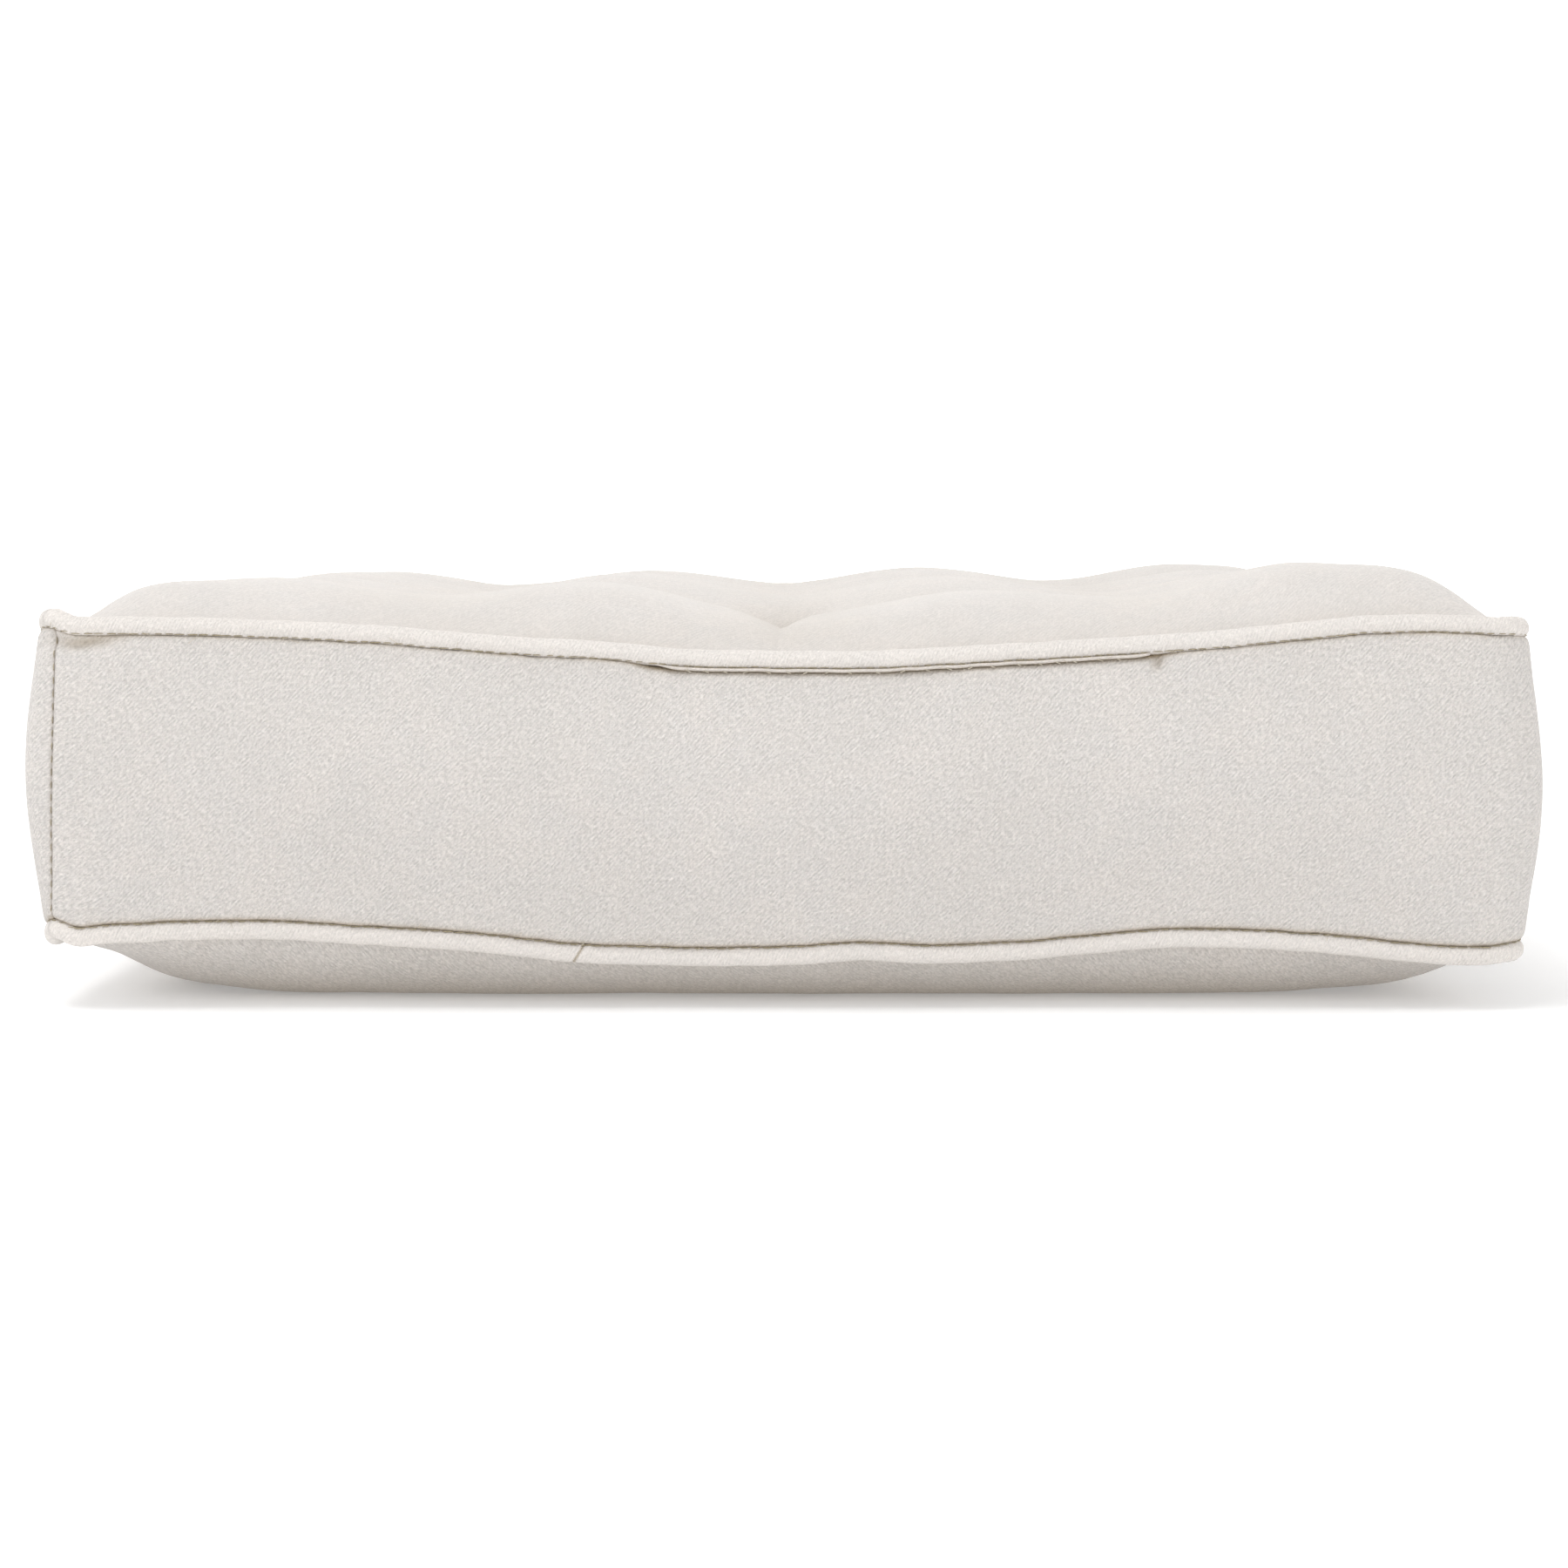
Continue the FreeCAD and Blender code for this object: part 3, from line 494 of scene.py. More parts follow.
def settle(points, faces, held):
    """Blows the cloths up a little against their seams and ties, and returns how each point moved."""
    mesh = bpy.data.meshes.new("settling")
    mesh.from_pydata((points * MM).tolist(), [], faces.tolist())
    cloth = bpy.data.objects.new("settling", mesh)
    bpy.context.collection.objects.link(cloth)
    cloth.vertex_groups.new(name="held").add(held, 1.0, "REPLACE")
    sim = cloth.modifiers.new("Cloth", "CLOTH")
    for name, value in SETTLING.items():
        setattr(sim.settings, name, value)
    sim.settings.effector_weights.gravity = 0
    sim.collision_settings.use_collision = False
    sim.point_cache.frame_start, sim.point_cache.frame_end = 1, SETTLING_FRAMES
    scene = bpy.context.scene
    for f in range(1, SETTLING_FRAMES + 1):
        scene.frame_set(f)
    done = cloth.evaluated_get(bpy.context.evaluated_depsgraph_get())
    after = np.zeros(len(points) * 3)
    done.data.vertices.foreach_get("co", after)
    scene.frame_set(1)
    bpy.data.objects.remove(cloth)
    bpy.data.meshes.remove(mesh)
    moved = after.reshape(-1, 3) / MM - points
    size = np.linalg.norm(moved, axis=1, keepdims=True)
    return moved * np.minimum(1, SLACK_MOTION / np.maximum(size, 1e-9))


# --- finer cloth from the settled one

def weights(count, at, closed=False):
    """Smooth interpolation weights from grid lines 0 to count - 1 to places between them."""
    base = np.floor(at).astype(int)
    if not closed:
        base = np.clip(base, 0, count - 2)
    u = at - base
    share = [(-u ** 3 + 2 * u ** 2 - u) / 2, (3 * u ** 3 - 5 * u ** 2 + 2) / 2,
             (-3 * u ** 3 + 4 * u ** 2 + u) / 2, (u ** 3 - u ** 2) / 2]
    table = np.zeros((len(at), count))
    for k in range(4):
        line = base + k - 1
        line = np.mod(line, count) if closed else np.clip(line, 0, count - 1)
        np.add.at(table, (np.arange(len(at)), line), share[k])
    return table


def grid_lines(inner_step, edge_step):
    """Cell places of a finished cloth's lines, closer together along the edges."""
    return np.concatenate([
        np.arange(0, EDGE_CELLS - 1e-6, edge_step),
        np.arange(EDGE_CELLS, COLS - EDGE_CELLS - 1e-6, inner_step),
        np.arange(COLS - EDGE_CELLS, COLS + 1e-6, edge_step),
    ])


def finer(field, row_weights, column_weights):
    """A grid of points or values, resampled both ways."""
    return np.einsum("ai,ij...,bj->ab...", row_weights, field, column_weights, optimize=True)


def axis_tree(upper):
    """The piping's centre line as a search tree, for finding what lies near it."""
    line = welt_axis(np.arange(0, 4, 0.001), upper)
    tree = KDTree(len(line))
    for k, p in enumerate(line):
        tree.insert(p, k)
    tree.balance()
    return tree


def push_out(points, tree, radius):
    """Moves points that lie inside a round cord to its surface."""
    flat = points.reshape(-1, 3)
    for k, p in enumerate(flat):
        q, _, gap = tree.find(p)
        if gap < radius:
            flat[k] = np.array(q) + (p - np.array(q)) * (radius / max(gap, 1e-6))


def tuft_folds(x, y, seed):
    """Small folds that run in to each tie, and the pit that it draws."""
    r = np.random.default_rng(seed)
    fold = np.zeros_like(x)
    pit = np.zeros_like(x)
    for tx, ty in TUFTS:
        dx, dy = x - tx, y - ty
        away = np.hypot(dx, dy)
        angle = np.arctan2(dy, dx)
        near = (away / 6.0) ** 1.2 * np.exp(-away / 9.0)
        wave = np.zeros_like(x)
        for count in (4, 5, 7, 9):
            wave += np.cos(count * angle + r.uniform(0, TURN)) * r.uniform(0.4, 1.0)
        fold += near * wave * 0.55
        pit += np.exp(-(away / 4.2) ** 1.3)
    return fold, pit


# --- meshes

def make(name, points, faces, material, weave=None, dust_and_shade=None):
    """A smooth mesh from points in millimetres, with its own cloth coordinates, and painted shade with
    some dust if given.
    """
    mesh = bpy.data.meshes.new(name)
    places = np.asarray(points).reshape(-1, 3) * MM
    mesh.from_pydata(places.tolist(), [], [list(map(int, f)) for f in faces])
    mesh.polygons.foreach_set("use_smooth", [True] * len(mesh.polygons))
    if weave is not None:
        layer = mesh.attributes.new("weave", "FLOAT_VECTOR", "POINT")
        layer.data.foreach_set("vector", (np.asarray(weave) * MM).astype(np.float32).ravel())
    if dust_and_shade is not None:
        layer = mesh.attributes.new("crease", "FLOAT", "POINT")
        layer.data.foreach_set("value", np.asarray(dust_and_shade).astype(np.float32).ravel())
    mesh.materials.append(material)
    piece = bpy.data.objects.new(name, mesh)
    bpy.context.collection.objects.link(piece)
    return piece


def mount(name, shape, look, node_name=None):
    """A piece that rides on the pad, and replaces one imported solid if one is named."""
    points, faces, *marks = shape
    piece = make(name, points, faces, look, *marks)
    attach(piece, "root")
    if node_name:
        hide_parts(node_name)
    return piece


def thicken(piece):
    """Gives a sheet of cloth its thickness, on its inner side."""
    solid = piece.modifiers.new("Thickness", "SOLIDIFY")
    solid.thickness = CLOTH * MM
    solid.offset = -1
    bpy.context.view_layer.objects.active = piece
    with bpy.context.temp_override(object=piece, active_object=piece, selected_objects=[piece]):
        bpy.ops.object.modifier_apply(modifier=solid.name)


def angles_round(sides):
    """Where a closed tube's points stand round its path; a cloth's ends meet on the inner side."""
    return np.linspace(-math.pi, math.pi, sides, endpoint=False)


def tube(path, radius, sides=10, closed=False):
    """Points and faces of a tube; its radius may vary along and around it. Open ends are rounded."""
    path = np.asarray(path, float)
    count = len(path)
    radius = np.asarray(radius, float)
    if radius.ndim < 2:
        radius = np.broadcast_to(radius, (count,))[:, None]
    if closed:
        along = np.roll(path, -1, axis=0) - np.roll(path, 1, axis=0)
    else:
        along = np.gradient(path, axis=0)
    along = unit(along)
    up = [0.31, 0.95, 0.05] if abs(along[:, 2]).max() > 0.95 else UP
    side = unit(np.cross(along, up))
    lift = np.cross(side, along)
    angle = (angles_round(sides) + (0 if closed else math.pi))[:, None]
    spokes = np.cos(angle) * side[:, None] + np.sin(angle) * lift[:, None]
    points = (path[:, None] + radius[..., None] * spokes).reshape(-1, 3)
    i, j = np.meshgrid(np.arange(count if closed else count - 1), np.arange(sides), indexing="ij")
    i2, j2 = (i + 1) % count, (j + 1) % sides
    faces = np.stack([i * sides + j, i2 * sides + j, i2 * sides + j2, i * sides + j2], axis=-1)
    faces = faces.reshape(-1, 4).tolist()
    if not closed:
        tips = [path[k] + along[k] * radius[k, 0] * step for k, step in ((0, -0.5), (-1, 0.5))]
        points = np.concatenate([points, tips])
        end = (count - 1) * sides
        for j in range(sides):
            k = (j + 1) % sides
            faces += [(count * sides, j, k), (count * sides + 1, end + k, end + j)]
    return points, faces


def gathered(parts):
    """Several (points, faces) as one."""
    points, faces, base = [], [], 0
    for p, f in parts:
        points.append(p)
        faces += [tuple(i + base for i in face) for face in f]
        base += len(p)
    return np.concatenate(points), faces


# --- materials

TWILL_REPEAT = 0.0009   # of the diagonal ridges, in metres
DUST_AND_SHADE = (0.37, 0.275, 0.145)  # the warm brown of painted shade in creases, grooves and hollows, and of some dust at the seams


class Look:
    """A material, with short names for the shader nodes that the looks below share.

    An input of a node is a value or another node's output."""

    def __init__(self, name):
        self.material = bpy.data.materials.new(name)
        self.material.use_nodes = True
        self.tree = self.material.node_tree
        self.shader = self.tree.nodes["Principled BSDF"]

    def feed(self, socket, value):
        if isinstance(value, bpy.types.NodeSocket):
            self.tree.links.new(value, socket)
        else:
            socket.default_value = value

    def node(self, kind, settings=None, **inputs):
        """Adds a node. Inputs go by socket name with _ for a space, or by number as n0, n1 and so on."""
        made = self.tree.nodes.new("ShaderNode" + kind)
        for name, value in (settings or {}).items():
            setattr(made, name, value)
        for name, value in inputs.items():
            socket = int(name[1:]) if name[1:].isdigit() else name.replace("_", " ")
            self.feed(made.inputs[socket], value)
        return made

    def calc(self, operation, *values, kind="Math"):
        inputs = {f"n{k}": value for k, value in enumerate(values)}
        return self.node(kind, {"operation": operation}, **inputs).outputs[0]

    def times(self, a, b):
        return self.calc("MULTIPLY", a, b)

    def times_plus(self, a, b, c):
        return self.calc("MULTIPLY_ADD", a, b, c)

    def stretched(self, place, scales):
        return self.calc("MULTIPLY", place, scales, kind="VectorMath")

    def ramp(self, value, low, high, to_low=0.0, to_high=1.0):
        """Maps low..high of a value smoothly to another range."""
        return self.node("MapRange", {"interpolation_type": "SMOOTHSTEP"}, Value=value,
                         From_Min=low, From_Max=high, To_Min=to_low, To_Max=to_high).outputs[0]

    def noise(self, place, scale, detail=2.0, rough=0.5):
        return self.node("TexNoise", Vector=place, Scale=scale, Detail=detail,
                         Roughness=rough).outputs[0]

    def mix(self, share, a, b, blend="MIX"):
        made = self.node("Mix", {"data_type": "RGBA", "blend_type": blend})
        for k, value in ((0, share), (6, a), (7, b)):
            self.feed(made.inputs[k], (*value, 1.0) if isinstance(value, tuple) else value)
        return made.outputs[2]

    def attribute(self, name, output):
        return self.node("Attribute", {"attribute_name": name}).outputs[output]

    def place(self):
        return self.node("TexCoord").outputs["Object"]

    def bump(self, height, strength, distance):
        made = self.node("Bump", Height=height, Strength=strength, Distance=distance)
        self.set(Normal=made.outputs[0])

    def set(self, **inputs):
        """Sets the shader's own sockets."""
        for name, value in inputs.items():
            self.feed(self.shader.inputs[name.replace("_", " ")], value)


def twill(name, rosy, greyish, shade, relief=1.0, contrast=1.0):
    """Woven cotton twill: diagonal ridges over single threads, cloudy undyed colour, seams and hollows
    darkened by painted shade and some dust.
    """
    look = Look(name)
    cloth = look.attribute("weave", "Vector")
    wander = look.node("TexNoise", Vector=cloth, Scale=260.0, Detail=1.0).outputs["Color"]
    shifted = look.calc("MULTIPLY_ADD", wander, (0.0005,) * 3, cloth, kind="VectorMath")
    split = look.node("SeparateXYZ", Vector=shifted)
    u, v, layer = split.outputs
    across = look.calc("SUBTRACT", v, u)
    ridge = look.calc("SINE", look.times(across, TURN / (TWILL_REPEAT * math.sqrt(2))))
    weft = look.calc("SINE", look.times(v, TURN / (TWILL_REPEAT * 0.62)))
    warp = look.calc("SINE", look.times(u, TURN / (TWILL_REPEAT * 0.55)))
    ridge = look.times(ridge, look.ramp(look.noise(cloth, 190.0), 0.40, 0.62, 0.25, 1.0))
    lumps = look.noise(cloth, 1700.0, 2.0, 0.65)
    height = look.times_plus(ridge, 0.34, look.times(weft, 0.16))
    height = look.times_plus(warp, 0.12, height)
    height = look.times_plus(lumps, 1.1, height)
    # slubs: thicker threads that run a little way along or up the cloth
    runs = [look.ramp(look.noise(look.stretched(cloth, scales), 1.0, 1.0), 0.60, 0.78)
            for scales in ((160.0, 1900.0, 60.0), (1900.0, 150.0, 60.0))]
    slubs = look.calc("MAXIMUM", *runs)
    height = look.times_plus(slubs, 0.3, height)
    # colour: clouds of undyed tones, dark gaps in the weave, pale slubs and flecks
    colour = look.mix(look.ramp(look.noise(cloth, 95.0, 3.0, 0.6), 0.36, 0.64), rosy, greyish)
    broad = look.ramp(look.noise(cloth, 26.0), 0.35, 0.65)
    colour = look.mix(look.times(broad, 0.5), colour, shade)
    gap = look.ramp(height, 0.35, 0.9, 0.55, 0.0)
    colour = look.mix(look.times(gap, 0.30), colour, tuple(0.72 * c for c in shade))
    pale = tuple(min(1.0, 1.09 * c) for c in rosy)
    colour = look.mix(look.times(slubs, 0.22), colour, pale)
    fleck = look.ramp(look.noise(cloth, 620.0, 1.0), 0.70, 0.78)
    colour = look.mix(look.times(fleck, 0.7), colour, pale)
    # grain: short light and dark floats that lean along the twill, and finer speckles
    lean = look.times(look.calc("ADD", u, v), 700.0)
    floats = look.node("CombineXYZ", X=lean, Y=look.times(across, 1600.0), Z=layer).outputs[0]
    grain = look.noise(floats, 0.8, 2.0, 0.6)
    grain = look.ramp(grain, 0.30, 0.70, 1 - 0.15 * contrast, 1 + 0.10 * contrast)
    speckle = look.noise(cloth, 1250.0, 2.0, 0.7)
    speckle = look.ramp(speckle, 0.28, 0.72, 1 - 0.11 * contrast, 1 + 0.08 * contrast)
    grain = look.times_plus(ridge, 0.03 * contrast, look.times(grain, speckle))
    colour = look.mix(1.0, colour, grain, "MULTIPLY")
    height = look.times_plus(grain, 5.0, height)
    # painted shade, with some dust at the seams: the cloth turns warm brown as far as the crease
    # attribute says
    colour = look.mix(look.attribute("crease", "Fac"), colour, DUST_AND_SHADE)
    rough = look.ramp(lumps, 0.2, 0.8, 0.82, 0.97)
    look.set(Base_Color=colour, Roughness=rough, Specular_IOR_Level=0.22, Sheen_Weight=0.16,
             Sheen_Roughness=0.45, Sheen_Tint=(1.0, 0.98, 0.95, 1.0))
    look.bump(height, 0.55 * relief, 0.00016)
    return look.material


def spun(name, colour, dark, scale, relief=0.8):
    """Spun cotton or polyester thread, cord or wadding."""
    look = Look(name)
    place = look.place()
    fibre = look.noise(place, scale, 3.0, 0.7)
    twist = look.noise(look.stretched(place, (scale, scale * 0.35, scale * 1.3)), 1.0)
    tone = look.ramp(look.times_plus(fibre, 0.5, look.times(twist, 0.5)), 0.35, 0.62)
    look.set(Base_Color=look.mix(tone, dark, colour), Roughness=look.ramp(fibre, 0.2, 0.8, 0.65, 0.95),
             Specular_IOR_Level=0.25, Sheen_Weight=0.1)
    look.bump(twist, relief, 0.0003)
    return look.material


# painted light: the upper cloth and the piping are lighter copies of the same twill as the band and the
# lower cloth
top_look = twill("natural_twill_top", (0.716, 0.677, 0.645), (0.694, 0.663, 0.637),
                 (0.673, 0.641, 0.612), relief=0.6, contrast=0.42)
cloth_look = twill("natural_twill", (0.706, 0.667, 0.636), (0.684, 0.653, 0.628), (0.662, 0.631, 0.603))
piping_look = twill("natural_twill_bias", (0.790, 0.745, 0.706), (0.765, 0.726, 0.691),
                    (0.744, 0.704, 0.667), relief=0.9, contrast=0.65)
stitch_look = spun("olive_thread", (0.44, 0.38, 0.26), (0.27, 0.225, 0.14), 1500.0)
join_look = spun("natural_thread", (0.66, 0.60, 0.50), (0.40, 0.35, 0.27), 1500.0)
twine_look = spun("waxed_twine", (0.74, 0.69, 0.60), (0.42, 0.36, 0.27), 1100.0, 1.0)
cord_look = spun("cotton_cord", (0.80, 0.77, 0.70), (0.58, 0.54, 0.46), 700.0)
fibre_look = spun("polyester_fibre", (0.88, 0.88, 0.87), (0.70, 0.70, 0.69), 260.0)

# --- the cloth, settled and finished

points, faces, held = shell(upper_z, lower_z)
moved = settle(points, faces, held)

n = COLS + 1
moved_top = moved[:n * n].reshape(n, n, 3)
moved_low = moved[n * n:2 * n * n].reshape(n, n, 3)
moved_band = np.zeros((len(coarse_place), ROWS + 1, 3))
moved_band[:, 1:-1] = moved[2 * n * n:].reshape(len(coarse_place), ROWS - 1, 3)


def wrinkles(grid, closed=False):
    """What is kept of a settled cloth's movement: eased wrinkles, and a little of the swelling."""
    fine, broad = eased(grid, 2, closed), eased(grid, 40, closed)
    return WRINKLES * (fine - broad) + KEPT_SWELL * broad


moved_top, moved_low, moved_band = wrinkles(moved_top), wrinkles(moved_low), wrinkles(moved_band, True)

welts = {True: axis_tree(True), False: axis_tree(False)}


def edge_place(s, t):
    """The place on the seam straight out from a panel's point, and how far it is."""
    right, back = np.abs(s) >= np.abs(t), t > 0
    place = np.where(right, np.where(s > 0, 1 + (t + 1) / 2, 4 - (t + 1) / 2),
                     np.where(back, 3 - (s + 1) / 2, (s + 1) / 2))
    return place, (1 - np.maximum(np.abs(s), np.abs(t))) * HALF


def finished_panel(upper):
    """Points, faces, cloth coordinates, and painted shade with some dust, of the upper or lower panel.
    """
    line = grid_lines(1 / 2, 1 / 6)
    w = weights(COLS + 1, line)
    s, t = np.meshgrid(line * 2 / COLS - 1, line * 2 / COLS - 1, indexing="ij")
    x, y = plan(s, t)
    z = finer(upper_z if upper else lower_z, w, w)
    panel = np.stack([x, y, z], axis=-1) + finer(moved_top if upper else moved_low, w, w)
    place, edge = edge_place(s, t)
    sign, seed = (1.0, 31) if upper else (-1.0, 32)
    fold, pit = tuft_folds(x, y, seed)
    detail = (0.42 if upper else 0.30) * ripple(place, 9, 22, seed + 2) * np.exp(-edge / 9.0)
    plump = np.exp(-edge / 22.0) * (1 - np.exp(-edge / 4.0))
    detail = detail + 0.6 * ripple(place, 35, 80, seed + 4) * plump
    panel[..., 2] += sign * (detail * np.clip(edge / 2.0, 0, 1) + fold - (3.0 if upper else 2.2) * pit)
    panel[..., 2] -= sign * SEAM_GROOVE * bell(edge, 3.0)
    if upper:
        # the pleat from the middle front tie to the seam closes to a sharp line
        (tie_x, tie_y), (seam_x, seam_y) = PLEAT
        share = np.clip((tie_y - y) / (tie_y - seam_y), 0, 1)
        away = np.abs(x - tie_x - (seam_x - tie_x) * share)
        run = window(y, -192.0, -104.0, 14.0)
        panel[..., 2] -= 1.3 * run * np.exp(-(away / 2.4) ** 1.2)
    else:
        panel[..., 2] = (panel[..., 2] + np.sqrt(panel[..., 2] ** 2 + REST_SOFT ** 2)) / 2
    push_out(panel, welts[upper], WELT_R)
    z = panel[..., 2]
    from_tie = np.min([np.hypot(x - tx, y - ty) for tx, ty in TUFTS], axis=0)
    # painted shade, with some dust at the seam: the cloth darkens along the seam, more faintly over the
    # groove beside the piping, and in the pit at each tie
    dust_and_shade = 0.45 * bell(edge, 2.0) + (0.10 if upper else 0.03) * bell(edge, 8.0)
    dust_and_shade += 0.25 * bell(from_tie, 2.0)
    if upper:
        # painted shade: the valleys between the humps and the rows of ties are a little darker than the
        # crests
        valley = np.clip((108.0 - z) / 8.0, 0, 1)
        from_row = np.min([np.abs(c - k * PITCH) for c in (x, y) for k in (-1, 0, 1)], axis=0)
        dust_and_shade += (0.09 * valley + 0.07 * bell(from_row, 24.0)) * np.clip(edge / 30.0, 0, 1)
    else:
        # painted shade: the rim that faces down darkens to a warm brown towards the floor, and only
        # faintly on the flat part that rests
        dust_and_shade += 0.44 * np.exp(-z / 6.5) * (0.12 + 0.88 / (1 + np.exp((edge - 34.0) / 3.5)))
    weave = np.stack([x, y, np.full_like(x, 500.0 if upper else 900.0)], axis=-1)
    quads = grid_faces(len(line), len(line))
    return panel, quads if upper else quads[:, ::-1], weave, dust_and_shade


def finished_strip(first, last, layer):
    """One of the two strips of the band, between two upright seams."""
    line = grid_lines(1 / 3, 1 / 6)[:-1] / COLS
    place = np.concatenate([side + line for side in range(5)])
    place = place[(place > first - 1e-4) & (place < last + 1e-4)]
    even = np.linspace(0, 1, BAND_ROWS + 1)
    v = even - 0.1 * np.sin(TURN * even)
    strip, direction = band_shape(place, v)
    strip += finer(moved_band, weights(len(coarse_place), np.mod(place, 4.0) * COLS, closed=True),
                   weights(ROWS + 1, v * ROWS))
    strip[..., :2] += direction * band_detail(place, v)[..., None]
    push_out(strip, welts[True], WELT_R + 0.02)
    push_out(strip, welts[False], WELT_R + 0.02)
    tall = strip[:, -1:, 2] - strip[:, :1, 2]
    under_top = (1 - v) * tall
    near = np.minimum(under_top, v * tall)
    side_seam = np.minimum(np.abs(place - first), np.abs(place - last))[:, None] * SIDE
    x = front_x(place)[:, None]
    pucker = bell(x - PUCKER_X, 1.3) * bell(under_top - PUCKER_DOWN, 1.8)
    fold = under_top - 3.2 + 0.16 * (x - TUCK_X)
    tuck = bell(x - TUCK_X - 2.0, 8.0) * bell(fold, 1.6)
    # painted shade, with some dust at the seams: the band darkens along its seams with the pipings and
    # the upright seams, and in the pucker and the tuck
    dust_and_shade = 0.9 * bell(near, 1.0) + 0.06 * bell(near, 3.0)
    dust_and_shade = dust_and_shade + 0.12 * bell(side_seam, 0.5) + 0.3 * pucker + 0.40 * tuck
    dust_and_shade = np.clip(dust_and_shade, 0, 1)
    along = np.broadcast_to(place[:, None] * SIDE, strip.shape[:2])
    weave = np.stack([along, strip[..., 2], np.full_like(along, layer)], axis=-1)
    return strip, grid_faces(len(place), len(v)), weave, dust_and_shade


soft_pieces = []
front_right = finished_strip(STRIP_JOIN, 2 + STRIP_JOIN, 100.0)
back_left = finished_strip(2 + STRIP_JOIN, 4 + STRIP_JOIN, 200.0)
for name, shape, look, node_name in (
        ("upper_cloth", finished_panel(True), top_look, "top_panel"),
        ("lower_cloth", finished_panel(False), cloth_look, "bottom_panel"),
        ("band_front_right", front_right, cloth_look, "boxing_front_right"),
        ("band_back_left", back_left, cloth_look, "boxing_back_left")):
    soft_pieces.append(mount(name, shape, look, node_name))
    thicken(soft_pieces[-1])

# --- filling

def filling():
    """The filling just inside the settled cloths."""
    core = points.copy()
    core[:n * n] += moved_top.reshape(-1, 3)
    core[n * n:2 * n * n] += moved_low.reshape(-1, 3)
    core[2 * n * n:] += moved_band[:, 1:-1].reshape(-1, 3)
    normal = np.zeros_like(core)
    a, b, c, d = (core[faces[:, k]] for k in range(4))
    flat = np.cross(c - a, d - b)
    for k in range(4):
        np.add.at(normal, faces[:, k], flat)
    core = core - unit(normal) * FILLING_IN
    for tx, ty in TUFTS:
        near = bell(np.hypot(core[:, 0] - tx, core[:, 1] - ty), 7.0)
        core[:, 2] += np.where(core[:, 2] > 50, -6.0, 5.0) * near
    return core, faces


soft_pieces.append(mount("filling", filling(), fibre_look, "fibre_fill"))

# --- piping

def piping(upper, join_place):
    """The piping's cover: a bias strip round a cord, with a slanted join where its ends meet."""
    # rings of points round the pad, closer together at the join
    coarse = np.arange(0, 4, 1 / PIPING_RINGS)
    fine = join_place + np.arange(-0.012, 0.012, 0.0006)
    coarse = coarse[np.abs(coarse - join_place) > 0.0128]
    place = np.unique(np.round(np.concatenate([coarse, fine]), 6))
    axis = welt_axis(place, upper)
    sides = 20
    angle = angles_round(sides)
    along = place[:, None] * SIDE
    lumps = 1 + 0.016 * ripple(place, 8, 25, 41)[:, None]
    lumps = lumps + 0.010 * np.sin(along * TURN / 11.0 + 1.5 * angle)
    slant = (place[:, None] - join_place) * SIDE - PIPING_SLANT * np.sin(angle)
    for corner in range(4):
        away = from_corner(place, corner)[:, None]
        folds = np.cos(away * TURN / 3.4 + 2.0 * angle)
        lumps = lumps + bell(away, 5.0) * (0.07 + 0.05 * folds)
    groove = 0.16 * bell(slant, 0.42)
    radius = WELT_R * lumps * (1 - groove + 0.05 * bell(slant - 1.5, 1.1))
    around = angle * WELT_R
    weave = np.stack(np.broadcast_arrays(
        0.94 * along + 0.34 * around, 0.94 * around - 0.34 * along, 1300.0), axis=-1)
    band_side = angle + (1.6 if upper else -1.6)
    # painted shade: darker in the slanted join's groove and along the side that faces the band
    dust_and_shade = 0.6 * bell(slant, 0.35) + 0.7 * bell(band_side, 0.33)
    return *tube(axis, radius, sides, closed=True), weave, dust_and_shade


low_join = front_place(PIPING_JOIN_LOW)
pipings = (("upper", "top", True, PIPING_JOIN_TOP), ("lower", "bottom", False, low_join))
for level, word, upper, join_place in pipings:
    cover = piping(upper, join_place)
    mount(f"{level}_piping", cover, piping_look, f"{word}_welt_cover")
for level, word, upper, _ in pipings:
    cord = tube(welt_axis(np.arange(0, 4, 1 / CORD_RINGS), upper), WELT_R - 0.7, closed=True)
    mount(f"{level}_piping_cord", cord, cord_look, f"{word}_welt_cord")

# --- stitches

def stitch(at, along, length, thick, bow):
    """One stitch: a short thread that dips into the cloth at both ends."""
    u = np.linspace(-1, 1, 5)[:, None]
    path = at + along * u * length / 2 + bow * (1 - u * u)
    return tube(path, thick * np.array([0.75, 1, 1, 1, 0.75]), sides=6)


def seam_stitches(crease, rise, out, seed):
    """The machine stitches that show in the groove between the band and a piping."""
    r = np.random.default_rng(seed)
    count = int(4 * SIDE / STITCH_PITCH)
    parts = []
    for place in (np.arange(count) + r.uniform(-0.12, 0.12, count)) * 4.0 / count:
        seam, away, along = seam_frame(place)
        at = seam + away * out + UP * (crease(place) + rise + r.uniform(-0.1, 0.1))
        parts.append(stitch(at, along, r.uniform(1.8, 2.9), r.uniform(0.12, 0.18), away * 0.25))
    return gathered(parts)


def strip_stitches(place):
    """The upright seam's stitches, in its groove."""
    v = np.arange(0.045, 0.965, 0.043)
    place = np.array([place])
    strip, direction = (part[0] for part in band_shape(place, v))
    depth = band_detail(place, v)[0]
    parts = []
    for k, at in enumerate(strip):
        up = strip[min(k + 1, len(v) - 1)] - strip[max(k - 1, 0)]
        out = np.array([*direction[k], 0.0])
        parts.append(stitch(at + out * (depth[k] + 0.10), unit(up), 1.8, 0.13, out * 0.12))
    return gathered(parts)


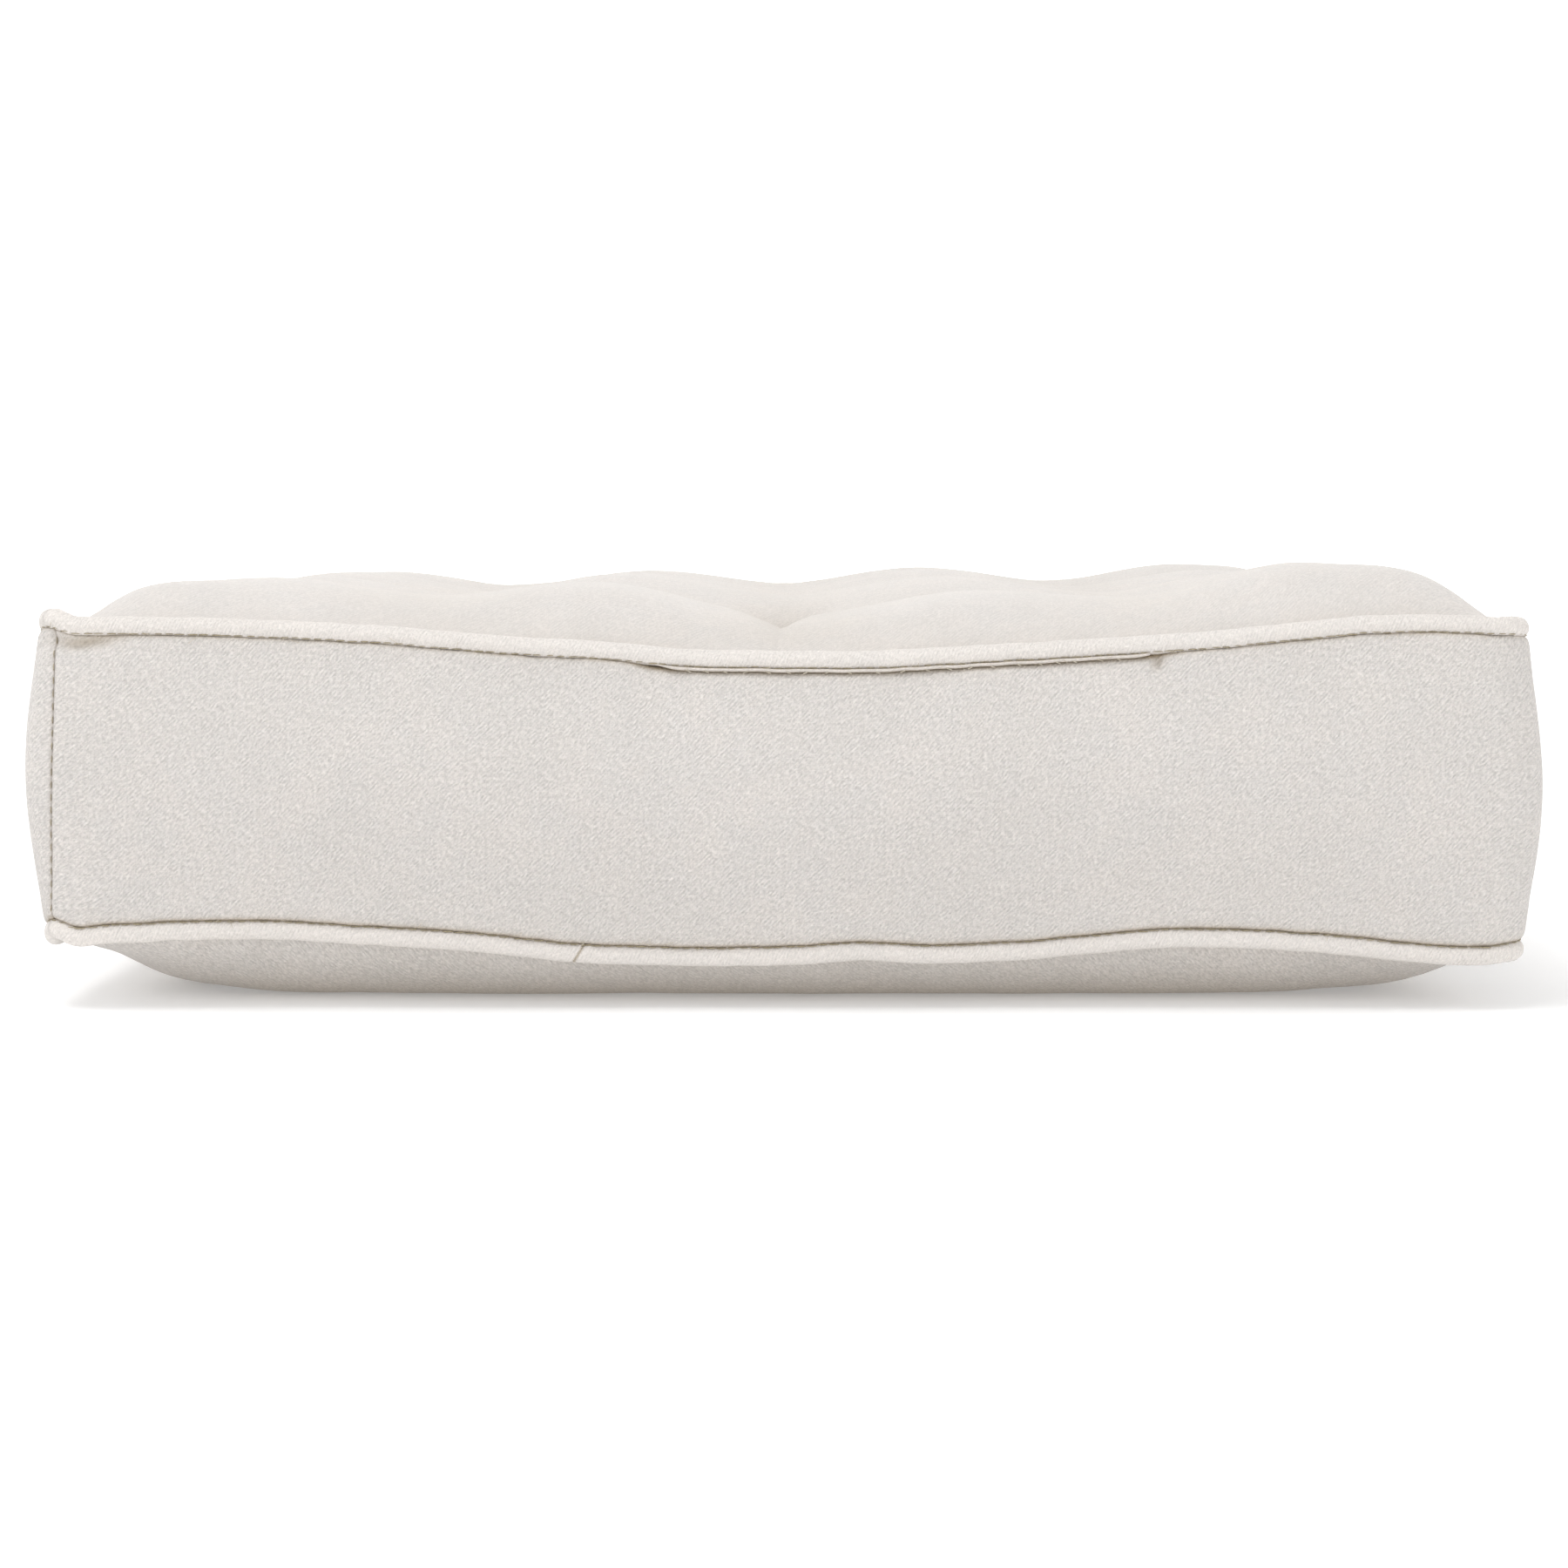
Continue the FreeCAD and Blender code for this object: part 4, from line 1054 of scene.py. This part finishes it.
for name, shape, node_name in (
        ("upper_seam_stitches", seam_stitches(top_crease, -0.2, 2.2, 51), "top_seam_thread"),
        ("lower_seam_stitches", seam_stitches(low_crease, -0.05, 1.95, 52), "bottom_seam_thread"),
        ("strip_stitches_front_left", strip_stitches(STRIP_JOIN), "corner_thread_front_left"),
        ("strip_stitches_back_right", strip_stitches(2 + STRIP_JOIN), "corner_thread_back_right")):
    mount(name, shape, stitch_look, node_name)


def join_stitches(place, upper):
    """The slanted seam across the piping: small stitches in its groove and a knot near its top."""
    parts = []
    for angle in np.arange(-2.2, 1.6, 0.42):
        at = place + PIPING_SLANT * math.sin(angle) / SIDE
        _, out, along = seam_frame(at)
        face = out * math.cos(angle) + UP * math.sin(angle)
        tangent = along * 0.35 - out * math.sin(angle) + UP * math.cos(angle)
        middle = welt_axis(at, upper) + face * (WELT_R - 0.28)
        parts.append(stitch(middle, unit(tangent), 0.8, 0.14, face * 0.1))
    at = place + PIPING_SLANT * math.sin(1.1) / SIDE
    _, out, along = seam_frame(at)
    face = out * 0.5 + UP * 0.87
    knot = welt_axis(at, upper) + face * WELT_R
    turn = np.linspace(0, TURN, 9)[:, None]
    parts.append(tube(knot + 0.32 * (np.cos(turn) * along + np.sin(turn) * face), 0.2, sides=6))
    parts.append(tube(knot + np.linspace(0, 1, 5)[:, None] * (1.6 * face + 0.5 * along), 0.11, sides=5))
    return gathered(parts)


mount("lower_piping_join", join_stitches(low_join, False), join_look,
      "welt_join_thread_bottom")
mount("upper_piping_join", join_stitches(PIPING_JOIN_TOP, True), join_look,
      "welt_join_thread_top")

# --- the hand-closed opening

def opening_lip():
    """The folded edge that shows as a thin roll under the upper piping."""
    x = np.arange(OPENING[0] - 4.0, OPENING[1] + 1.6, 0.8)
    place = front_place(x)
    share = window(x, OPENING[0] + 6, OPENING[1] - 3, 9.0)
    away = ring_out(place)
    xy = ring_point(place) + away * (2.0 + 0.75 * share + 0.06 * ripple(place, 6, 18, 61))[:, None]
    z = top_crease(place) - 0.30 - 0.62 * share + 0.05 * ripple(place, 6, 18, 62)
    path = np.column_stack([xy, z])
    radius = 0.16 + 0.32 * share
    sides = 10
    tube_points, tube_faces = tube(path, radius, sides)
    ring = np.repeat(np.arange(len(x)), sides)
    around = np.tile(np.arange(sides) * 0.35, len(x))
    weave = np.column_stack([x[ring], around, np.full(len(ring), 1700.0)])
    height = (tube_points[:len(ring), 2] - z[ring]) / radius[ring]
    # a faint even brown tint, and painted shade on the top and bottom of the roll
    dust_and_shade = 0.10 + 0.9 * np.clip(np.abs(height) - 0.5, 0, 0.5)
    return tube_points, tube_faces, np.pad(weave, ((0, 2), (0, 0))), np.pad(dust_and_shade, (0, 2))


mount("opening_lip", opening_lip(), piping_look)


def closing_stitches():
    """Small hand stitches across the fold under the lip."""
    r = np.random.default_rng(63)
    parts = []
    x = OPENING[0] + 8
    while x < OPENING[1] - 2:
        place = front_place(x)
        seam, out, _ = seam_frame(place)
        at = seam + out * 3.0 + UP * (top_crease(place) - 1.45)
        along = np.array([0.9, 0.0, -0.35 if r.random() < 0.7 else 0.4])
        parts.append(stitch(at, unit(along), r.uniform(1.3, 2.2), 0.15, np.array([0, -0.15, 0])))
        x += r.uniform(4.5, 7.5)
    return gathered(parts)


mount("closing_stitches", closing_stitches(), join_look, "closing_stitch")

# --- ties

def tie(x, y, seed):
    """Twine over the upper pit, down through the filling, and knotted with two tails underneath."""
    r = np.random.default_rng(seed)
    lean = r.uniform(-0.5, 0.5)
    half = 1.9
    top = TUFT_TOP - 2.3
    low = TUFT_LOW + 2.0
    strand = [(0.6, low), (0.9, low + 6), (1.5, 50), (half, top - 6), (half, top - 1.6),
              (half * 0.8, top - 0.2), (half * 0.3, top + 0.35)]
    loop = [(-a, z) for a, z in strand] + strand[::-1]
    path = np.array([(x + math.cos(lean) * a, y + math.sin(lean) * a, z) for a, z in loop])
    path = weights(len(path), np.linspace(0, len(path) - 1, 60)) @ path
    parts = [tube(path, 0.55, sides=8)]
    turn = np.linspace(0, 4.5 * math.pi, 46)
    knot_z = TUFT_LOW - 0.9
    coil = np.column_stack([
        x + 1.15 * np.cos(turn) * (1 + 0.15 * np.sin(3 * turn)),
        y + 1.15 * np.sin(turn),
        knot_z + 0.9 * np.sin(1.5 * turn),
    ])
    parts.append(tube(coil, 0.58, sides=8))
    for sign in (-1, 1):
        heading = r.uniform(-0.6, 0.6) + (0 if sign > 0 else math.pi)
        reach = r.uniform(7.5, 11.0)
        u = np.linspace(0, 1, 9)
        bend = r.uniform(-0.5, 0.5)
        tail = np.column_stack([
            x + reach * u * np.cos(heading + bend * u),
            y + reach * u * np.sin(heading + bend * u),
            knot_z - 0.4 - 1.9 * np.sin(u * math.pi / 2) - 0.3 * u,
        ])
        parts.append(tube(tail, 0.52, sides=8))
    return gathered(parts)


for k, (tx, ty) in enumerate(TUFTS):
    mount(f"twine_{k + 1}", tie(tx, ty, 70 + k), twine_look, f"tuft_tie_{k + 1}")

# --- loose fibres

def loose_fibres():
    """Stray fibres that stand off the cut and sewn edges."""
    r = np.random.default_rng(81)
    parts = []
    for k in range(150):
        place = r.uniform(0, 1) if k < 70 else r.uniform(1, 4)
        level = top_crease(place) - 0.6 if r.random() < 0.5 else low_crease(place) + 0.5
        seam, out, along = seam_frame(place)
        u = np.linspace(0, 1, 7)[:, None]
        length = r.uniform(0.8, 3.2)
        aim = along * r.uniform(-1, 1) + out * r.uniform(0.25, 0.5) + UP * r.uniform(-0.7, 0.7)
        curl = along * r.uniform(-1, 1) + UP * r.uniform(-1, 1)
        start = seam + out * 2.9 + UP * level
        parts.append(tube(start + length * (aim * u + 0.35 * curl * u * u), 0.07, sides=4))
    return gathered(parts)


mount("loose_fibres", loose_fibres(), join_look)

# --- studio

FLAT = 2.4              # the floor's flat radius, in metres here
BEND = 1.6              # and the radius of its bend up to the backdrop
WALL = 4.0              # and the backdrop's height
STUDIO_PALE = 0.88      # how much light the studio's surfaces return


def matte(name, glow):
    """A pale studio surface that is a little uneven, and glows more towards the back."""
    look = Look(name)
    place = look.place()
    tone = look.ramp(look.noise(place, 6.0, 3.0), 0.3, 0.7)
    depth = look.node("SeparateXYZ", Vector=place).outputs[1]
    look.set(Base_Color=look.mix(tone, (STUDIO_PALE,) * 3, (0.985 * STUDIO_PALE,) * 3), Roughness=0.9,
             Specular_IOR_Level=0.1, Emission_Color=(1.0, 1.0, 1.0, 1.0),
             Emission_Strength=look.ramp(depth, -1.5, 3.0, *glow))
    return look.material


def turned(profile, count=96):
    """A surface of revolution with a profile in radius and z, in metres."""
    turn = np.linspace(0, TURN, count + 1)
    grid = [[(r * math.cos(a) / MM, r * math.sin(a) / MM, z / MM) for r, z in profile] for a in turn]
    return np.array(grid), grid_faces(count + 1, len(profile))


bend = [(FLAT + BEND * math.sin(a), BEND * (1 - math.cos(a))) for a in np.linspace(0, math.pi / 2, 24)]
level = [(0.001, 0.0), (1.0, 0.0), (FLAT, 0.0)]
floor = make("floor", *turned(level), matte("studio_floor", (0.18, 0.26)))
rise = [*bend, (FLAT + BEND, WALL)]
backdrop = make("backdrop", *turned(rise), matte("studio_backdrop", (0.18, 0.75)))

world = bpy.data.worlds.new("studio")
bpy.context.scene.world = world
world.use_nodes = True
background = world.node_tree.nodes["Background"]
background.inputs["Color"].default_value = (1.0, 1.0, 1.0, 1.0)
background.inputs["Strength"].default_value = 0.42


def area_light(name, place, aim, size, power):
    """A rectangular lamp that faces a point."""
    lamp = bpy.data.lights.new(name, "AREA")
    lamp.shape, lamp.size, lamp.size_y = "RECTANGLE", size[0], size[1]
    lamp.energy = power
    holder = bpy.data.objects.new(name, lamp)
    holder.location = place
    dx, dy, dz = (a - b for a, b in zip(aim, place))
    holder.rotation_euler = (math.atan2(math.hypot(dx, dy), -dz), 0, math.atan2(-dx, dy))
    bpy.context.collection.objects.link(holder)


area_light("key", (-0.5, -0.5, 1.8), (0, 0, 0.06), (1.1, 0.9), 15.5)
area_light("fill", (0.3, -2.2, 0.6), (0, 0, 0.06), (2.2, 1.0), 5)
area_light("rim", (0.3, 1.7, 1.1), (0, 0, 0.1), (2.0, 0.8), 3)

LOOKS_DOWN = 4.353      # degrees
camera = bpy.data.objects.new("camera", bpy.data.cameras.new("camera"))
camera.data.lens = 75.14
camera.data.sensor_width = 36.0
camera.location = (0.0, -1.084, 0.129)
camera.rotation_euler = (math.radians(90 - LOOKS_DOWN), 0, 0)
bpy.context.collection.objects.link(camera)
bpy.context.scene.camera = camera
bpy.context.scene.view_settings.view_transform = "Standard"
